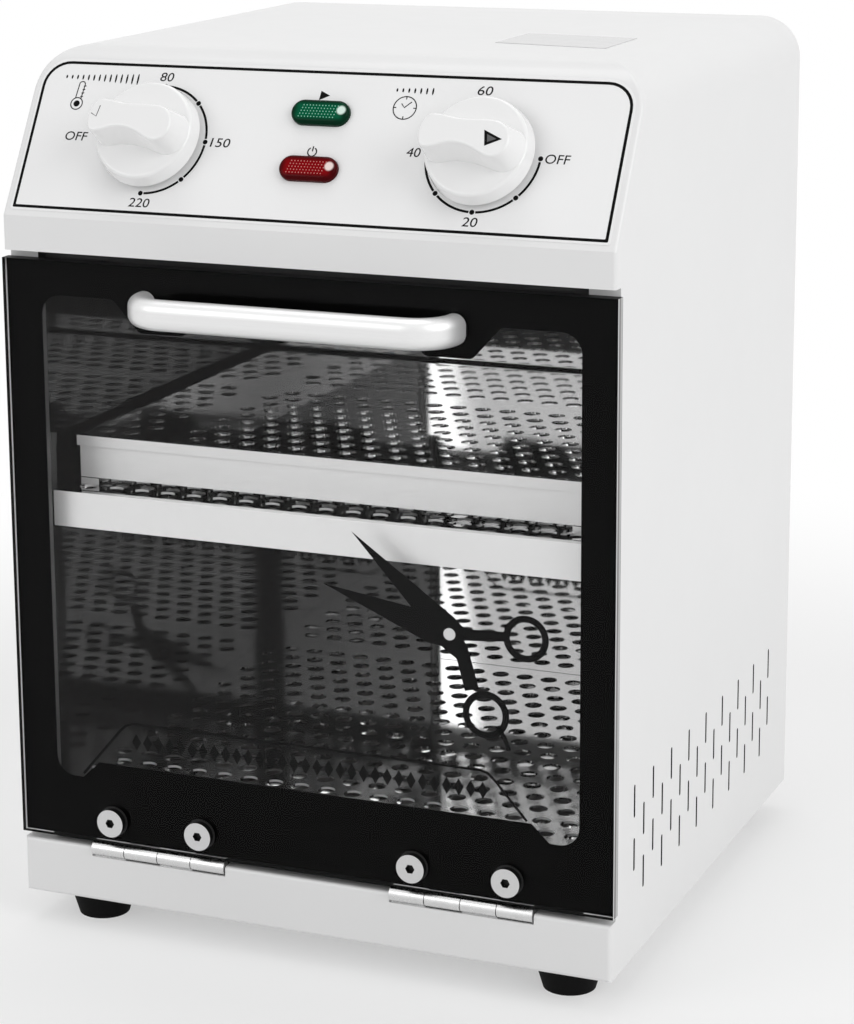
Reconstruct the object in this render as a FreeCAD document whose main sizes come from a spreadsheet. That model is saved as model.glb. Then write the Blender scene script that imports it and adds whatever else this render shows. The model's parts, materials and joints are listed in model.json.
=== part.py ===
import FreeCAD, Part
import math
import os
import Sketcher
from FreeCAD import Placement, Rotation, Vector

# Dry heat sterilizer, bench size: a painted steel case with a sloping control panel, a drop-down
# glass door on two butt hinges, and a stainless chamber with a perforated floor, shelf and tray.
# Millimetres. +Z is up, +X is the right side seen from the front, and the front faces -Y.
# Z = 0 is the table, and X = Y = 0 is the middle of the case.

SIZES = [
    # case
    ("case_width", 219.0),
    ("case_depth", 210.0),
    ("case_height", 297.5),
    ("foot_height", 11.5),
    ("steel", 1.0),
    ("top_radius", 15.0),
    ("edge_radius", 1.2),
    ("panel_tilt", 31.0),
    ("crease_drop", 54.3),
    ("fascia_drop", 12.0),
    ("fascia_return", 9.4),
    ("door_recess", 4.8),
    ("band_height", 20.0),
    ("jamb_width", 10.6),
    ("rear_flange", 10.0),
    ("pan_flange", 12.0),
    ("overrun", 6.0),
    ("seam", 0.3),
    # side vents
    ("vent_length", 11.5),
    ("vent_width", 1.5),
    ("vent_pitch", 10.0),
    ("vent_row_step", 9.38),
    ("vent_top", 61.0),
    ("vent_first", 23.5),
    # chamber
    ("chamber_side_gap", 10.0),
    ("chamber_front", 9.4),
    ("chamber_rear_gap", 26.7),
    ("chamber_bottom", 26.0),
    ("ceiling_drop", 9.2),
    ("liner_steel", 0.6),
    ("liner_flange", 8.0),
    ("floor_height", 41.8),
    ("mesh_steel", 0.8),
    ("mesh_gap", 0.3),
    ("hole_diameter", 6.5),
    ("hole_pitch", 10.0),
    ("hole_row_step", 10.3),
    ("hole_margin", 5.0),
    # shelf and tray
    ("shelf_drop", 76.6),
    ("shelf_lip", 12.6),
    ("shelf_setback", 1.7),
    ("shelf_rail_depth", 11.0),
    ("shelf_rail_width", 8.0),
    ("runner_width", 7.0),
    ("tray_lift", 2.6),
    ("tray_side_gap", 4.8),
    ("tray_setback", 13.5),
    ("tray_rear_gap", 5.4),
    ("tray_wall", 15.0),
    ("tray_hem", 0.8),
    ("tray_hem_fold", 3.6),
    # heater
    ("heater_radius", 3.25),
    ("heater_bend", 20.0),
    ("heater_front_gap", 15.6),
    ("heater_back_gap", 13.3),
    ("heater_lift", 7.5),
    ("heater_tail", 13.7),
    ("cradle_width", 8.0),
    ("cradle_end", 10.0),
    ("cradle_spread", 30.0),
    ("bushing_radius", 6.0),
    ("bushing_length", 9.0),
    ("bushing_inside", 3.0),
    ("terminal_radius", 1.5),
    ("terminal_length", 5.0),
    # insulation
    ("blanket", 7.0),
    ("blanket_over_vents", 3.0),
    ("blanket_gap", 0.3),
    ("rear_blanket_low", 45.0),
    ("rear_blanket_inset", 4.5),
    # door
    ("glass_overhang", 0.8),
    ("glass_over_band", 2.2),
    ("glass_top_gap", 2.7),
    ("glass_thickness", 4.0),
    ("print_thickness", 0.3),
    ("border_side", 13.0),
    ("border_low", 22.0),
    ("border_top", 12.5),
    ("window_radius", 7.0),
    ("lobe_outside", 4.4),
    ("lobe_inside", 12.1),
    ("lobe_drop", 11.0),
    ("lobe_slope", 10.0),
    ("lobe_radius", 3.0),
    ("ear_width", 10.3),
    ("sill_slope", 6.5),
    ("sill_rise", 6.1),
    # hinges
    ("hinge_inset", 52.8),
    ("hinge_width", 51.4),
    ("hinge_gap", 0.3),
    ("barrel_radius", 2.6),
    ("pin_radius", 1.2),
    ("pin_play", 0.05),
    ("barrel_under_glass", 2.9),
    ("barrel_depth", 1.5),
    ("leaf_steel", 1.2),
    ("leaf_height", 17.0),
    ("leaf_drop", 13.0),
    ("screw_spread", 17.0),
    ("screw_rise", 8.5),
    ("screw_head", 5.0),
    ("screw_head_depth", 2.4),
    ("screw_radius", 2.0),
    ("screw_play", 0.3),
    ("socket_radius", 1.7),
    ("socket_depth", 1.5),
    ("washer_radius", 5.4),
    ("washer_thickness", 0.6),
    ("nut_radius", 3.6),
    ("nut_thickness", 2.6),
    # handle
    ("handle_inset", 53.9),
    ("handle_drop", 0.7),
    ("handle_tall", 10.4),
    ("handle_deep", 8.0),
    ("handle_reach", 17.5),
    ("handle_bend", 12.0),
    ("handle_edge", 3.8),
    ("handle_washer", 0.9),
    ("handle_washer_radius", 4.4),
    ("handle_screw_head", 3.5),
    ("handle_screw_head_depth", 2.0),
    ("handle_screw_grip", 5.0),
    # door catch
    ("catch_inset", 25.5),
    ("catch_width", 16.0),
    ("catch_tall", 6.0),
    ("catch_drop", 3.5),
    ("striker_thickness", 0.9),
    ("catch_gap", 0.4),
    # control panel
    ("knob_inset", 50.2),
    ("knob_up", 30.0),
    ("knob_gap", 3.0),
    ("knob_skirt", 18.2),
    ("knob_face", 17.3),
    ("knob_depth", 5.7),
    ("knob_edge", 1.2),
    ("grip_half", 17.6),
    ("grip_tall", 9.0),
    ("grip_edge", 0.8),
    ("knob_bore_depth", 10.5),
    ("knob_wall", 1.6),
    ("knob_hub", 6.0),
    ("shaft_radius", 3.0),
    ("shaft_play", 0.05),
    ("shaft_hole", 5.0),
    ("shaft_sink", 9.0),
    ("shaft_tail", 6.0),
    ("bush_radius", 4.6),
    ("thermostat_radius", 15.0),
    ("thermostat_depth", 22.0),
    ("strap_half", 20.0),
    ("strap_width", 16.0),
    ("strap_steel", 1.2),
    ("strap_screw_spread", 12.5),
    ("panel_screw_radius", 1.5),
    ("panel_screw_head", 2.9),
    ("panel_screw_cap", 0.5),
    ("panel_screw_length", 4.0),
    ("timer_half", 17.0),
    ("timer_depth", 24.0),
    ("bell_radius", 15.0),
    ("bell_depth", 6.0),
    ("lamp_width", 20.7),
    ("lamp_tall", 8.7),
    ("lamp_proud", 2.6),
    ("lamp_edge", 1.5),
    ("green_up", 42.0),
    ("red_up", 22.1),
    ("lamp_lip", 0.9),
    ("lamp_skirt", 3.0),
    ("lamp_body_depth", 16.0),
    # temperature sensing and safety
    ("bulb_radius", 3.0),
    ("bulb_length", 60.0),
    ("bulb_drop", 12.0),
    ("bulb_behind", 14.0),
    ("capillary_radius", 0.8),
    ("capillary_bend", 8.0),
    ("capillary_beyond", 15.0),
    ("capillary_back", 13.0),
    ("capillary_run", 46.4),
    ("clip_spread", 20.0),
    ("clip_width", 6.0),
    ("clip_wall", 1.0),
    ("cutout_radius", 8.0),
    ("cutout_cap_radius", 5.0),
    ("cutout_depth", 6.0),
    ("cutout_height", 120.0),
    # supply
    ("terminal_block_width", 34.0),
    ("terminal_block_tall", 14.0),
    ("terminal_block_deep", 12.0),
    ("supply_height", 24.0),
    ("supply_back", 13.0),
    ("gland_inset", 49.5),
    ("gland_radius", 7.0),
    ("gland_bore", 3.6),
    ("gland_proud", 17.5),
    ("gland_tip", 5.4),
    ("gland_inside", 6.0),
    ("gland_flange", 9.0),
    ("gland_flange_depth", 2.0),
    ("earth_across", 30.0),
    ("earth_inset", 35.0),
    ("earth_length", 8.0),
    ("harness_radius", 2.5),
    ("harness_bend", 9.0),
    ("harness_inset", 21.5),
    ("harness_start", 8.0),
    ("harness_drop", 35.5),
    ("harness_end_inset", 33.0),
    # feet
    ("foot_top", 12.4),
    ("foot_bottom", 9.0),
    ("foot_inset_side", 20.8),
    ("foot_inset_end", 18.8),
    ("foot_screw_recess", 5.0),
    ("foot_recess_radius", 4.2),
    ("foot_screw_length", 11.0),
    # rear panel
    ("rear_screw_inset", 5.4),
    ("rear_screw_drop", 40.0),
    ("rear_vent_low", 120.0),
    ("rear_vent_width", 30.0),
    ("rear_vent_tall", 3.0),
    ("rear_vent_step", 8.0),
]

# Sizes and places that follow the piece that carries them, by a named gap from the table above
FOLLOWS = [
    ("crease_height", "case_height - crease_drop"),
    ("fascia_height", "crease_height - fascia_drop"),
    ("chamber_half", "case_width / 2 - chamber_side_gap"),
    ("chamber_depth", "case_depth - chamber_front - chamber_rear_gap"),
    ("chamber_top", "fascia_height - ceiling_drop"),
    ("blanket_low", "vent_top + blanket_over_vents"),
    ("rear_blanket_half", "chamber_half - rear_blanket_inset"),
    ("shelf_height", "chamber_top - shelf_drop"),
    ("tray_height", "shelf_height + tray_lift"),
    ("tray_half", "chamber_half - tray_side_gap"),
    ("tray_depth", "chamber_depth - tray_setback - tray_rear_gap"),
    ("cradle_half", "3 * heater_bend + cradle_end"),
    ("glass_width", "case_width + 2 * glass_overhang"),
    ("glass_low", "band_height + glass_over_band"),
    ("glass_height", "fascia_height - glass_top_gap - glass_low"),
    ("window_half", "glass_width / 2 - border_side"),
    ("window_low", "glass_low + border_low"),
    ("window_high", "glass_low + glass_height - border_top"),
    ("ear_inner", "window_half - ear_width"),
    ("sill_half", "ear_inner - sill_slope"),
    ("sill_high", "window_low + sill_rise"),
    ("handle_half", "case_width / 2 - handle_inset"),
    ("handle_height", "window_high - handle_drop"),
    ("lobe_outer", "handle_half + lobe_outside"),
    ("lobe_inner", "handle_half - lobe_inside"),
    ("hinge_middle", "case_width / 2 - hinge_inset"),
    ("barrel_height", "glass_low - barrel_under_glass"),
    ("screw_height", "glass_low + screw_rise"),
    ("catch_middle", "case_width / 2 - catch_inset"),
    ("catch_height", "glass_low + glass_height - catch_drop"),
    ("knob_middle", "case_width / 2 - knob_inset"),
    ("capillary_across", "bulb_length / 2 + capillary_beyond"),
    ("gland_across", "case_width / 2 - gland_inset"),
    ("harness_across", "case_width / 2 - harness_inset"),
    ("harness_high", "case_height - harness_drop"),
]

doc = FreeCAD.newDocument("dry_heat_sterilizer")
sheet = doc.addObject("Spreadsheet::Sheet", "sizes")
for row, (alias, content) in enumerate(SIZES + FOLLOWS, 1):
    sheet.set(f"A{row}", alias)
    sheet.set(f"B{row}", f"={content}")
    sheet.setAlias(f"B{row}", alias)
doc.recompute()


class Size:
    """A length or angle that keeps its value together with its formula over the sheet."""

    def __init__(self, value, text):
        self.value = float(value)
        self.text = text

    def __add__(self, other):
        other = as_size(other)
        return Size(self.value + other.value, f"({self.text} + {other.text})")

    def __sub__(self, other):
        other = as_size(other)
        return Size(self.value - other.value, f"({self.text} - {other.text})")

    def __mul__(self, other):
        other = as_size(other)
        return Size(self.value * other.value, f"({self.text} * {other.text})")

    def __truediv__(self, other):
        other = as_size(other)
        return Size(self.value / other.value, f"({self.text} / {other.text})")

    def __radd__(self, other):
        return as_size(other) + self

    def __rsub__(self, other):
        return as_size(other) - self

    def __rmul__(self, other):
        return as_size(other) * self

    def __neg__(self):
        return Size(-self.value, f"(-1 * {self.text})")

    def __float__(self):
        return self.value


def as_size(thing):
    return thing if isinstance(thing, Size) else Size(thing, repr(thing))


def sine(angle):
    return Size(math.sin(math.radians(angle.value)), f"sin({angle.text})")


def cosine(angle):
    return Size(math.cos(math.radians(angle.value)), f"cos({angle.text})")


def tangent(angle):
    return Size(math.tan(math.radians(angle.value)), f"tan({angle.text})")


class SheetSizes:
    """Hands out each named cell of the sheet as a Size."""

    def __getattr__(self, alias):
        return Size(sheet.get(alias), "sizes." + alias)


s = SheetSizes()
TURNS = {
    "x": Rotation(Vector(0, 1, 0), 90),
    "y": Rotation(Vector(1, 0, 0), -90),
    "z": Rotation(),
}
NODES = []


def bind(thing, prop, size):
    thing.setExpression(prop, as_size(size).text)


def put(thing, x, y, z):
    """Bind where a primitive or a body stands."""
    for axis, size in zip("xyz", (x, y, z)):
        bind(thing, "Placement.Base." + axis, size)
    return thing


def box(name, x, y, z):
    """A box spanned by a low and a high size on each axis."""
    thing = doc.addObject("Part::Box", name)
    for prop, (low, high) in zip(("Length", "Width", "Height"), (x, y, z)):
        bind(thing, prop, high - low)
    return put(thing, x[0], y[0], z[0])


def rod(name, radius, length, start, axis="z"):
    """A cylinder that starts at a point and runs along +X, +Y or +Z."""
    thing = doc.addObject("Part::Cylinder", name)
    thing.Placement = Placement(Vector(), TURNS[axis])
    bind(thing, "Radius", radius)
    bind(thing, "Height", length)
    return put(thing, *start)


def fuse(name, parts):
    thing = doc.addObject("Part::MultiFuse", name)
    thing.Shapes = parts
    return thing


def cut(name, base, tools):
    """The base less one tool, or less several joined tools."""
    thing = doc.addObject("Part::Cut", name)
    thing.Base = base
    thing.Tool = tools[0] if len(tools) == 1 else group(name + "_tools", tools)
    return thing


def group(name, parts):
    """Separate solids kept side by side in one shape."""
    thing = doc.addObject("Part::Compound", name)
    thing.Links = parts
    return thing


def common(name, base, tool):
    thing = doc.addObject("Part::Common", name)
    thing.Base = base
    thing.Tool = tool
    return thing


def node(name, thing):
    """Make the finished object a sub-part of its own."""
    thing.Label = name
    NODES.append(thing)
    return thing


def shape_node(name, shape):
    """A sub-part whose shape comes from named sizes in code."""
    thing = doc.addObject("Part::Feature", name)
    thing.Shape = shape
    return node(name, thing)


def drawn(name, role, outline, low, high):
    """A body with one sketched outline, padded from low to high along the plane's own axis.

    role is XY, XZ or YZ. The outline's points are in those two axes, each tied to the origin.
    """
    body = doc.addObject("PartDesign::Body", name)
    sketch = body.newObject("Sketcher::SketchObject", name + "_outline")
    plane = [f for f in body.Origin.OriginFeatures if f.Role == role + "_Plane"][0]
    sketch.AttachmentSupport = [(plane, "")]
    sketch.MapMode = "FlatFace"
    # the XZ plane's own normal points to -Y, so its pad starts at the high end
    bind(sketch, "AttachmentOffset.Base.z", -as_size(high) if role == "XZ" else low)
    points = [(as_size(a), as_size(b)) for a, b in outline]
    flat = [Vector(a.value, b.value, 0) for a, b in points]
    count = len(flat)
    for index in range(count):
        sketch.addGeometry(Part.LineSegment(flat[index], flat[(index + 1) % count]), False)
    for index in range(count):
        sketch.addConstraint(Sketcher.Constraint("Coincident", index, 2, (index + 1) % count, 1))
    for index, (a, b) in enumerate(points):
        for kind, size, own_axis in (("DistanceX", a, -2), ("DistanceY", b, -1)):
            if size.value == 0:
                sketch.addConstraint(Sketcher.Constraint("PointOnObject", index, 1, own_axis))
                continue
            number = sketch.addConstraint(
                Sketcher.Constraint(kind, -1, 1, index, 1, size.value))
            sketch.setExpression(f"Constraints[{number}]", size.text)
    pad = body.newObject("PartDesign::Pad", name + "_pad")
    pad.Profile = sketch
    bind(pad, "Length", as_size(high) - low)
    doc.recompute()
    return body


def rounded(body, radius, chosen):
    """Round the edges of a body whose two ends pass the test."""
    base = body.Tip
    names = []
    for number, edge in enumerate(base.Shape.Edges, 1):
        ends = [vertex.Point for vertex in edge.Vertexes]
        if len(ends) == 2 and chosen(*ends):
            names.append(f"Edge{number}")
    fillet = body.newObject("PartDesign::Fillet", body.Name + "_fillet")
    fillet.Base = (base, names)
    bind(fillet, "Radius", radius)
    body.Tip = fillet
    doc.recompute()
    return body


def near(a, b):
    return abs(float(a) - float(b)) < float(s.seam) / 10


def circle_wire(x, y, z, radius):
    return Part.Wire(Part.makeCircle(float(radius), Vector(float(x), float(y), float(z))))


def perforated(x, y, z, margin):
    """A flat sheet with staggered round holes, all in one face that is then given its depth."""
    low, high = float(z[0]), float(z[1])
    ring = Part.makePolygon([
        Vector(float(x[0]), float(y[0]), low), Vector(float(x[1]), float(y[0]), low),
        Vector(float(x[1]), float(y[1]), low), Vector(float(x[0]), float(y[1]), low),
        Vector(float(x[0]), float(y[0]), low)])
    clear = margin + s.hole_diameter / 2
    across = float(x[1] - x[0] - 2 * clear)
    deep = float(y[1] - y[0] - 2 * clear)
    rows = int(deep / float(s.hole_row_step)) + 1
    columns = int(across / float(s.hole_pitch)) + 1
    middle_x = float(x[0] + x[1]) / 2
    middle_y = float(y[0] + y[1]) / 2
    holes = []
    for row in range(rows):
        count = columns - row % 2
        hole_y = middle_y + (row - (rows - 1) / 2) * float(s.hole_row_step)
        for column in range(count):
            hole_x = middle_x + (column - (count - 1) / 2) * float(s.hole_pitch)
            holes.append(circle_wire(hole_x, hole_y, low, s.hole_diameter / 2))
    print("perforated sheet:", rows, "rows,", len(holes), "holes")
    sheet_face = Part.makeFace([Part.Wire(ring)] + holes, "Part::FaceMakerBullseye")
    return sheet_face.extrude(Vector(0, 0, high - low))


def routed(points, radius, bend):
    """A round tube along straight runs that are joined by tangent arcs."""
    stops = [Vector(*[float(size) for size in point]) for point in points]
    edges = []
    start = stops[0]
    for index in range(1, len(stops) - 1):
        corner = stops[index]
        back = (stops[index - 1] - corner).normalize()
        ahead = (stops[index + 1] - corner).normalize()
        half = back.getAngle(ahead) / 2
        reach = float(bend) / math.tan(half)
        first = corner + back * reach
        last = corner + ahead * reach
        inward = (back + ahead).normalize()
        centre = corner + inward * (float(bend) / math.sin(half))
        top = centre - inward * float(bend)
        if (first - start).Length > float(s.seam):
            edges.append(Part.LineSegment(start, first).toShape())
        edges.append(Part.Arc(first, top, last).toShape())
        start = last
    edges.append(Part.LineSegment(start, stops[-1]).toShape())
    path = Part.Wire(edges)
    tangent_way = (stops[1] - stops[0]).normalize()
    section = Part.Wire(Part.makeCircle(float(radius), stops[0], tangent_way))
    return path.makePipeShell([section], True, False)


# Reference places, worked out from the sheet
base_z = s.foot_height
top_z = base_z + s.case_height
side_x = s.case_width / 2
front_y = -s.case_depth / 2
rear_y = s.case_depth / 2
jamb_y = front_y + s.door_recess
fascia_z = base_z + s.fascia_height
crease_z = base_z + s.crease_height
tilt = s.panel_tilt
band_z = base_z + s.band_height
chamber_y = front_y + s.chamber_front
chamber_back = chamber_y + s.chamber_depth
floor_z = base_z + s.floor_height - s.mesh_steel
sill_y = chamber_y + s.liner_steel
glass_back = front_y + s.glass_thickness
print_back = glass_back + s.print_thickness
glass_z = (base_z + s.glass_low, base_z + s.glass_low + s.glass_height)
pin_y = front_y + s.barrel_depth
pin_z = base_z + s.barrel_height
leaf_back = print_back + s.leaf_steel
screw_z = base_z + s.screw_height
screw_hole = s.screw_radius + s.screw_play
bulb_y = chamber_back - s.bulb_behind
bulb_z = base_z + s.chamber_top - s.bulb_drop
heater_z = base_z + s.chamber_bottom + s.heater_lift
lamp_hole_width = s.lamp_width - 2 * s.lamp_lip
lamp_hole_tall = s.lamp_tall - 2 * s.lamp_lip


def case_block(name, inset):
    """The case's outer form, drawn in by the inset on every side but the open bottom and rear."""
    spill = as_size(0) if inset is None else s.overrun
    inset = as_size(0) if inset is None else inset
    ceiling = top_z - inset
    crease = crease_z - inset * tangent(tilt / 2)
    brow = front_y + (ceiling - crease_z) * tangent(tilt) + inset / cosine(tilt)
    outline = [
        (front_y + inset, base_z - spill),
        (front_y + inset, crease),
        (brow, ceiling),
        (rear_y + spill, ceiling),
        (rear_y + spill, base_z - spill),
    ]
    half = side_x - inset
    body = drawn(name, "YZ", outline, -half, half)
    rounded(body, s.top_radius - inset,
            lambda a, b: near(a.z, ceiling) and near(b.z, ceiling) and min(a.y, b.y) < 0)
    rounded(body, s.edge_radius - inset / 2,
            lambda a, b: near(abs(a.x), half) and near(a.x, b.x) and max(a.y, b.y) < 0)
    return body


def both_sides(x):
    """The two mirrored spans of a span on the right."""
    return [x, (-x[1], -x[0])]


def case_parts():
    """The painted steel: wrap, fascia, base pan and rear panel."""
    outside = case_block("case_outside", None)
    inside = case_block("case_inside", s.steel)
    shell = cut("case_shell", outside, [inside])
    lap_z = top_z - s.top_radius
    brow_y = front_y + (top_z - crease_z) * tangent(tilt)
    lap_depth = s.door_recess / cosine(tilt)
    zone = drawn("fascia_zone", "YZ", [
        (front_y - s.overrun, fascia_z),
        (jamb_y, fascia_z),
        (jamb_y, crease_z - s.door_recess * tangent(tilt / 2)),
        (front_y + (lap_z - crease_z) * tangent(tilt) + lap_depth, lap_z),
        (brow_y + s.top_radius, top_z + s.overrun),
        (front_y - s.overrun, top_z + s.overrun),
    ], -side_x - s.overrun, side_x + s.overrun)
    wide = (-side_x - s.overrun, side_x + s.overrun)
    inner_x = side_x - s.steel
    jamb_x = side_x - s.jamb_width

    # side and top wrap, with the door jambs folded in at the front and a fold at the rear
    door_zone = box("door_zone", wide, (front_y - s.overrun, jamb_y),
                    (base_z - s.overrun, fascia_z))
    jambs = []
    for side, x in zip(("right", "left"), both_sides((jamb_x, inner_x))):
        jambs.append(box("jamb_" + side, x, (jamb_y, jamb_y + s.steel), (band_z, fascia_z)))
    for side, x in zip(("right", "left"), both_sides((jamb_x, jamb_x + s.steel))):
        jambs.append(box("jamb_lip_" + side, x, (jamb_y, front_y + s.chamber_front),
                         (band_z, fascia_z)))
    fold_back = (rear_y - 2 * s.steel, rear_y - s.steel)
    fold = common("rear_fold_sheet", inside,
                  box("rear_fold_zone", wide, fold_back, (base_z + s.steel, top_z)))
    fold_x = inner_x - s.rear_flange
    opening = box("rear_opening", (-fold_x, fold_x), (rear_y - s.overrun, rear_y + s.overrun),
                  (base_z - s.overrun, top_z - s.steel - s.rear_flange))
    fold = cut("rear_fold", fold, [opening])
    bare_wrap = cut("bare_wrap", shell, [zone, door_zone])
    full_wrap = fuse("full_wrap", [bare_wrap, fold] + jambs)
    slots = doc.addObject("Part::Feature", "side_vents")
    slots.Shape = vent_slots()
    screw_holes = doc.addObject("Part::Feature", "rear_screw_holes")
    screw_holes.Shape = Part.makeCompound(rear_screws(s.panel_screw_radius, s.panel_screw_radius))
    node("side_and_top_wrap", cut("wrap", full_wrap, [slots, screw_holes]))

    # sloping front panel with its lower return
    lip = box("fascia_lip", (-inner_x, inner_x), (front_y + s.steel / 2, front_y + s.fascia_return),
              (fascia_z, fascia_z + s.steel))
    plain = fuse("plain_fascia", [common("fascia_sheet", shell, zone), lip])
    holes = []
    for side, x in (("left", -s.knob_middle), ("right", s.knob_middle)):
        holes.append(panel_rod("shaft_hole_" + side, s.shaft_hole, 3 * s.steel,
                               x, s.knob_up, -2 * s.steel))
        for end, way in (("low", -1), ("high", 1)):
            holes.append(panel_rod(f"strap_hole_{side}_{end}", s.panel_screw_radius, 3 * s.steel,
                                   x + way * s.strap_screw_spread, s.knob_up, -2 * s.steel))
    for colour, up in (("green", s.green_up), ("red", s.red_up)):
        holes.append(pill(colour + "_lamp_hole", lamp_hole_width, lamp_hole_tall, up,
                          -2 * s.steel, s.steel))
    node("front_fascia", cut("fascia", plain, holes))

    # base pan: floor, upturned flanges and the rounded front band with its hinge notches
    band = drawn("band_block", "XY", [
        (-side_x, front_y), (side_x, front_y), (side_x, jamb_y), (-side_x, jamb_y)],
        base_z, band_z)
    rounded(band, s.edge_radius, lambda a, b: near(a.y, front_y) and near(b.y, front_y))
    hollow = box("band_hollow", (-inner_x, inner_x), (front_y + s.steel, jamb_y + s.overrun),
                 (base_z + s.steel, band_z - s.steel))
    notch_half = s.hinge_width / 2 + s.hinge_gap
    notches = []
    for side, middle in (("right", s.hinge_middle), ("left", -s.hinge_middle)):
        notches.append(box("hinge_notch_" + side, (middle - notch_half, middle + notch_half),
                           (front_y - s.overrun, jamb_y + s.overrun),
                           (base_z + s.barrel_height - s.barrel_radius - s.hinge_gap,
                            band_z + s.overrun)))
    band = cut("front_band", band, [hollow] + notches)
    back_y = rear_y - 2 * s.steel
    pieces = [band, box("pan_floor", (-inner_x, inner_x), (jamb_y - s.steel, back_y),
                        (base_z, base_z + s.steel))]
    for side, x in zip(("right", "left"), both_sides((inner_x - s.steel, inner_x))):
        pieces.append(box("pan_flange_" + side, x, (jamb_y + 2 * s.steel, back_y),
                          (base_z, base_z + s.pan_flange)))
    pieces.append(box("pan_flange_rear", (-fold_x, fold_x), (back_y, back_y + s.steel),
                      (base_z, base_z + s.pan_flange)))
    foot_holes = [rod(f"foot_hole_{spot}", s.screw_radius + s.screw_play, 3 * s.steel,
                      (x, y, base_z - s.steel)) for spot, x, y in foot_places()]
    node("base_pan", cut("pan", fuse("full_pan", pieces), foot_holes))

    # rear panel, screwed to the fold, with cooling slots and the cable entry
    panel_inside = case_block("panel_inside", s.steel + s.seam)
    panel = common("rear_sheet", panel_inside, box(
        "rear_zone", wide, (rear_y - s.steel, rear_y), (base_z + s.seam, top_z)))
    tools = [doc.addObject("Part::Feature", "rear_panel_holes")]
    tools[0].Shape = Part.makeCompound(
        rear_screws(s.panel_screw_radius, s.panel_screw_radius))
    tools.append(rod("gland_hole", s.gland_radius, 3 * s.steel,
                     (s.gland_across, rear_y - 2 * s.steel, base_z + s.supply_height), "y"))
    for number in range(REAR_VENTS):
        low = base_z + s.rear_vent_low + s.rear_vent_step * number
        for side, x in (("right", s.gland_across), ("left", -s.gland_across)):
            tools.append(box(f"rear_vent_{side}_{number}",
                             (x - s.rear_vent_width / 2, x + s.rear_vent_width / 2),
                             (rear_y - 2 * s.steel, rear_y + s.steel),
                             (low, low + s.rear_vent_tall)))
    node("rear_panel", cut("rear", panel, tools))


REAR_VENTS = 6
VENT_COLUMNS = 17
VENT_ROWS = 4
FOOT_SPOTS = (("front_left", -1, -1), ("front_right", 1, -1), ("rear_left", -1, 1),
              ("rear_right", 1, 1))


def vent_slots():
    """Four staggered rows of narrow upright slots through both side walls."""
    slots = []
    width = float(s.vent_width)
    reach = float(side_x + s.overrun)
    for column in range(VENT_COLUMNS):
        y = float(front_y + s.vent_first + s.vent_pitch * column)
        for row in range(column % 2, VENT_ROWS, 2):
            high = float(base_z + s.vent_top - s.vent_row_step * row) - width / 2
            low = high + width - float(s.vent_length)
            core = Part.makeBox(2 * reach, width, high - low, Vector(-reach, y - width / 2, low))
            ends = [Part.makeCylinder(width / 2, 2 * reach, Vector(-reach, y, z), Vector(1, 0, 0))
                    for z in (low, high)]
            slots.append(core.fuse(ends).removeSplitter())
    print("vent slots:", len(slots), "on each side")
    return Part.makeCompound(slots)


def rear_screw_places():
    """Places round the rear panel's edge: three down each side and two along the top."""
    x = side_x - s.steel - s.rear_screw_inset
    low = base_z + s.rear_screw_drop
    high = top_z - s.rear_screw_drop
    spots = [(way * x, z) for way in (-1, 1) for z in (low, (low + high) / 2, high)]
    return spots + [(way * s.gland_across, top_z - s.steel - s.rear_screw_inset)
                    for way in (-1, 1)]


def rear_screws(radius, head):
    """Screw shanks, each with a wider head outside the rear face where the head asks for it."""
    screws = []
    for x, z in rear_screw_places():
        inner = Vector(float(x), float(rear_y - 3 * s.steel), float(z))
        outer = Vector(float(x), float(rear_y), float(z))
        shank = Part.makeCylinder(float(radius), float(3 * s.steel), inner, Vector(0, 1, 0))
        if float(head) > float(radius):
            shank = shank.fuse(Part.makeCone(
                float(head), float(radius), float(2 * s.panel_screw_cap), outer, Vector(0, 1, 0)))
        screws.append(shank)
    return screws


def foot_places():
    return [(spot, way_x * (side_x - s.foot_inset_side),
             way_y * (s.case_depth / 2 - s.foot_inset_end)) for spot, way_x, way_y in FOOT_SPOTS]


def on_panel(thing, x, up, out):
    """Stand a piece on the sloping panel: x along it, up its slope and out from its face."""
    turn = 90 - tilt
    thing.Placement = Placement(Vector(), Rotation(Vector(1, 0, 0), float(turn)))
    bind(thing, "Placement.Rotation.Angle", turn)
    return put(thing, x, front_y + up * sine(tilt) - out * cosine(tilt),
               crease_z + up * cosine(tilt) + out * sine(tilt))


def panel_rod(name, radius, length, x, up, out):
    thing = doc.addObject("Part::Cylinder", name)
    bind(thing, "Radius", radius)
    bind(thing, "Height", length)
    return on_panel(thing, x, up, out)


def panel_box(name, x, up, out):
    thing = doc.addObject("Part::Box", name)
    for prop, (low, high) in zip(("Length", "Width", "Height"), (x, up, out)):
        bind(thing, prop, high - low)
    return on_panel(thing, x[0], up[0], out[0])


def pill(name, width, tall, up, low, high):
    """A round-ended oblong on the middle of the panel, from the low to the high level."""
    half = (width - tall) / 2
    return fuse(name, [
        panel_box(name + "_core", (-half, half), (up - tall / 2, up + tall / 2), (low, high)),
        panel_rod(name + "_left", tall / 2, high - low, -half, up, low),
        panel_rod(name + "_right", tall / 2, high - low, half, up, low),
    ])


def from_panel(shape, x, up, out):
    """Carry a plain shape, built about its own origin, to its place on the panel."""
    shape.Placement = Placement(
        Vector(float(x), float(front_y + up * sine(tilt) - out * cosine(tilt)),
               float(crease_z + up * cosine(tilt) + out * sine(tilt))),
        Rotation(Vector(1, 0, 0), 90 - float(tilt)))
    return shape


def panel_point(x, up, out):
    """A point given by its place along the panel, up its slope and out from its face."""
    return (x, front_y + up * sine(tilt) - out * cosine(tilt),
            crease_z + up * cosine(tilt) + out * sine(tilt))


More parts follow.
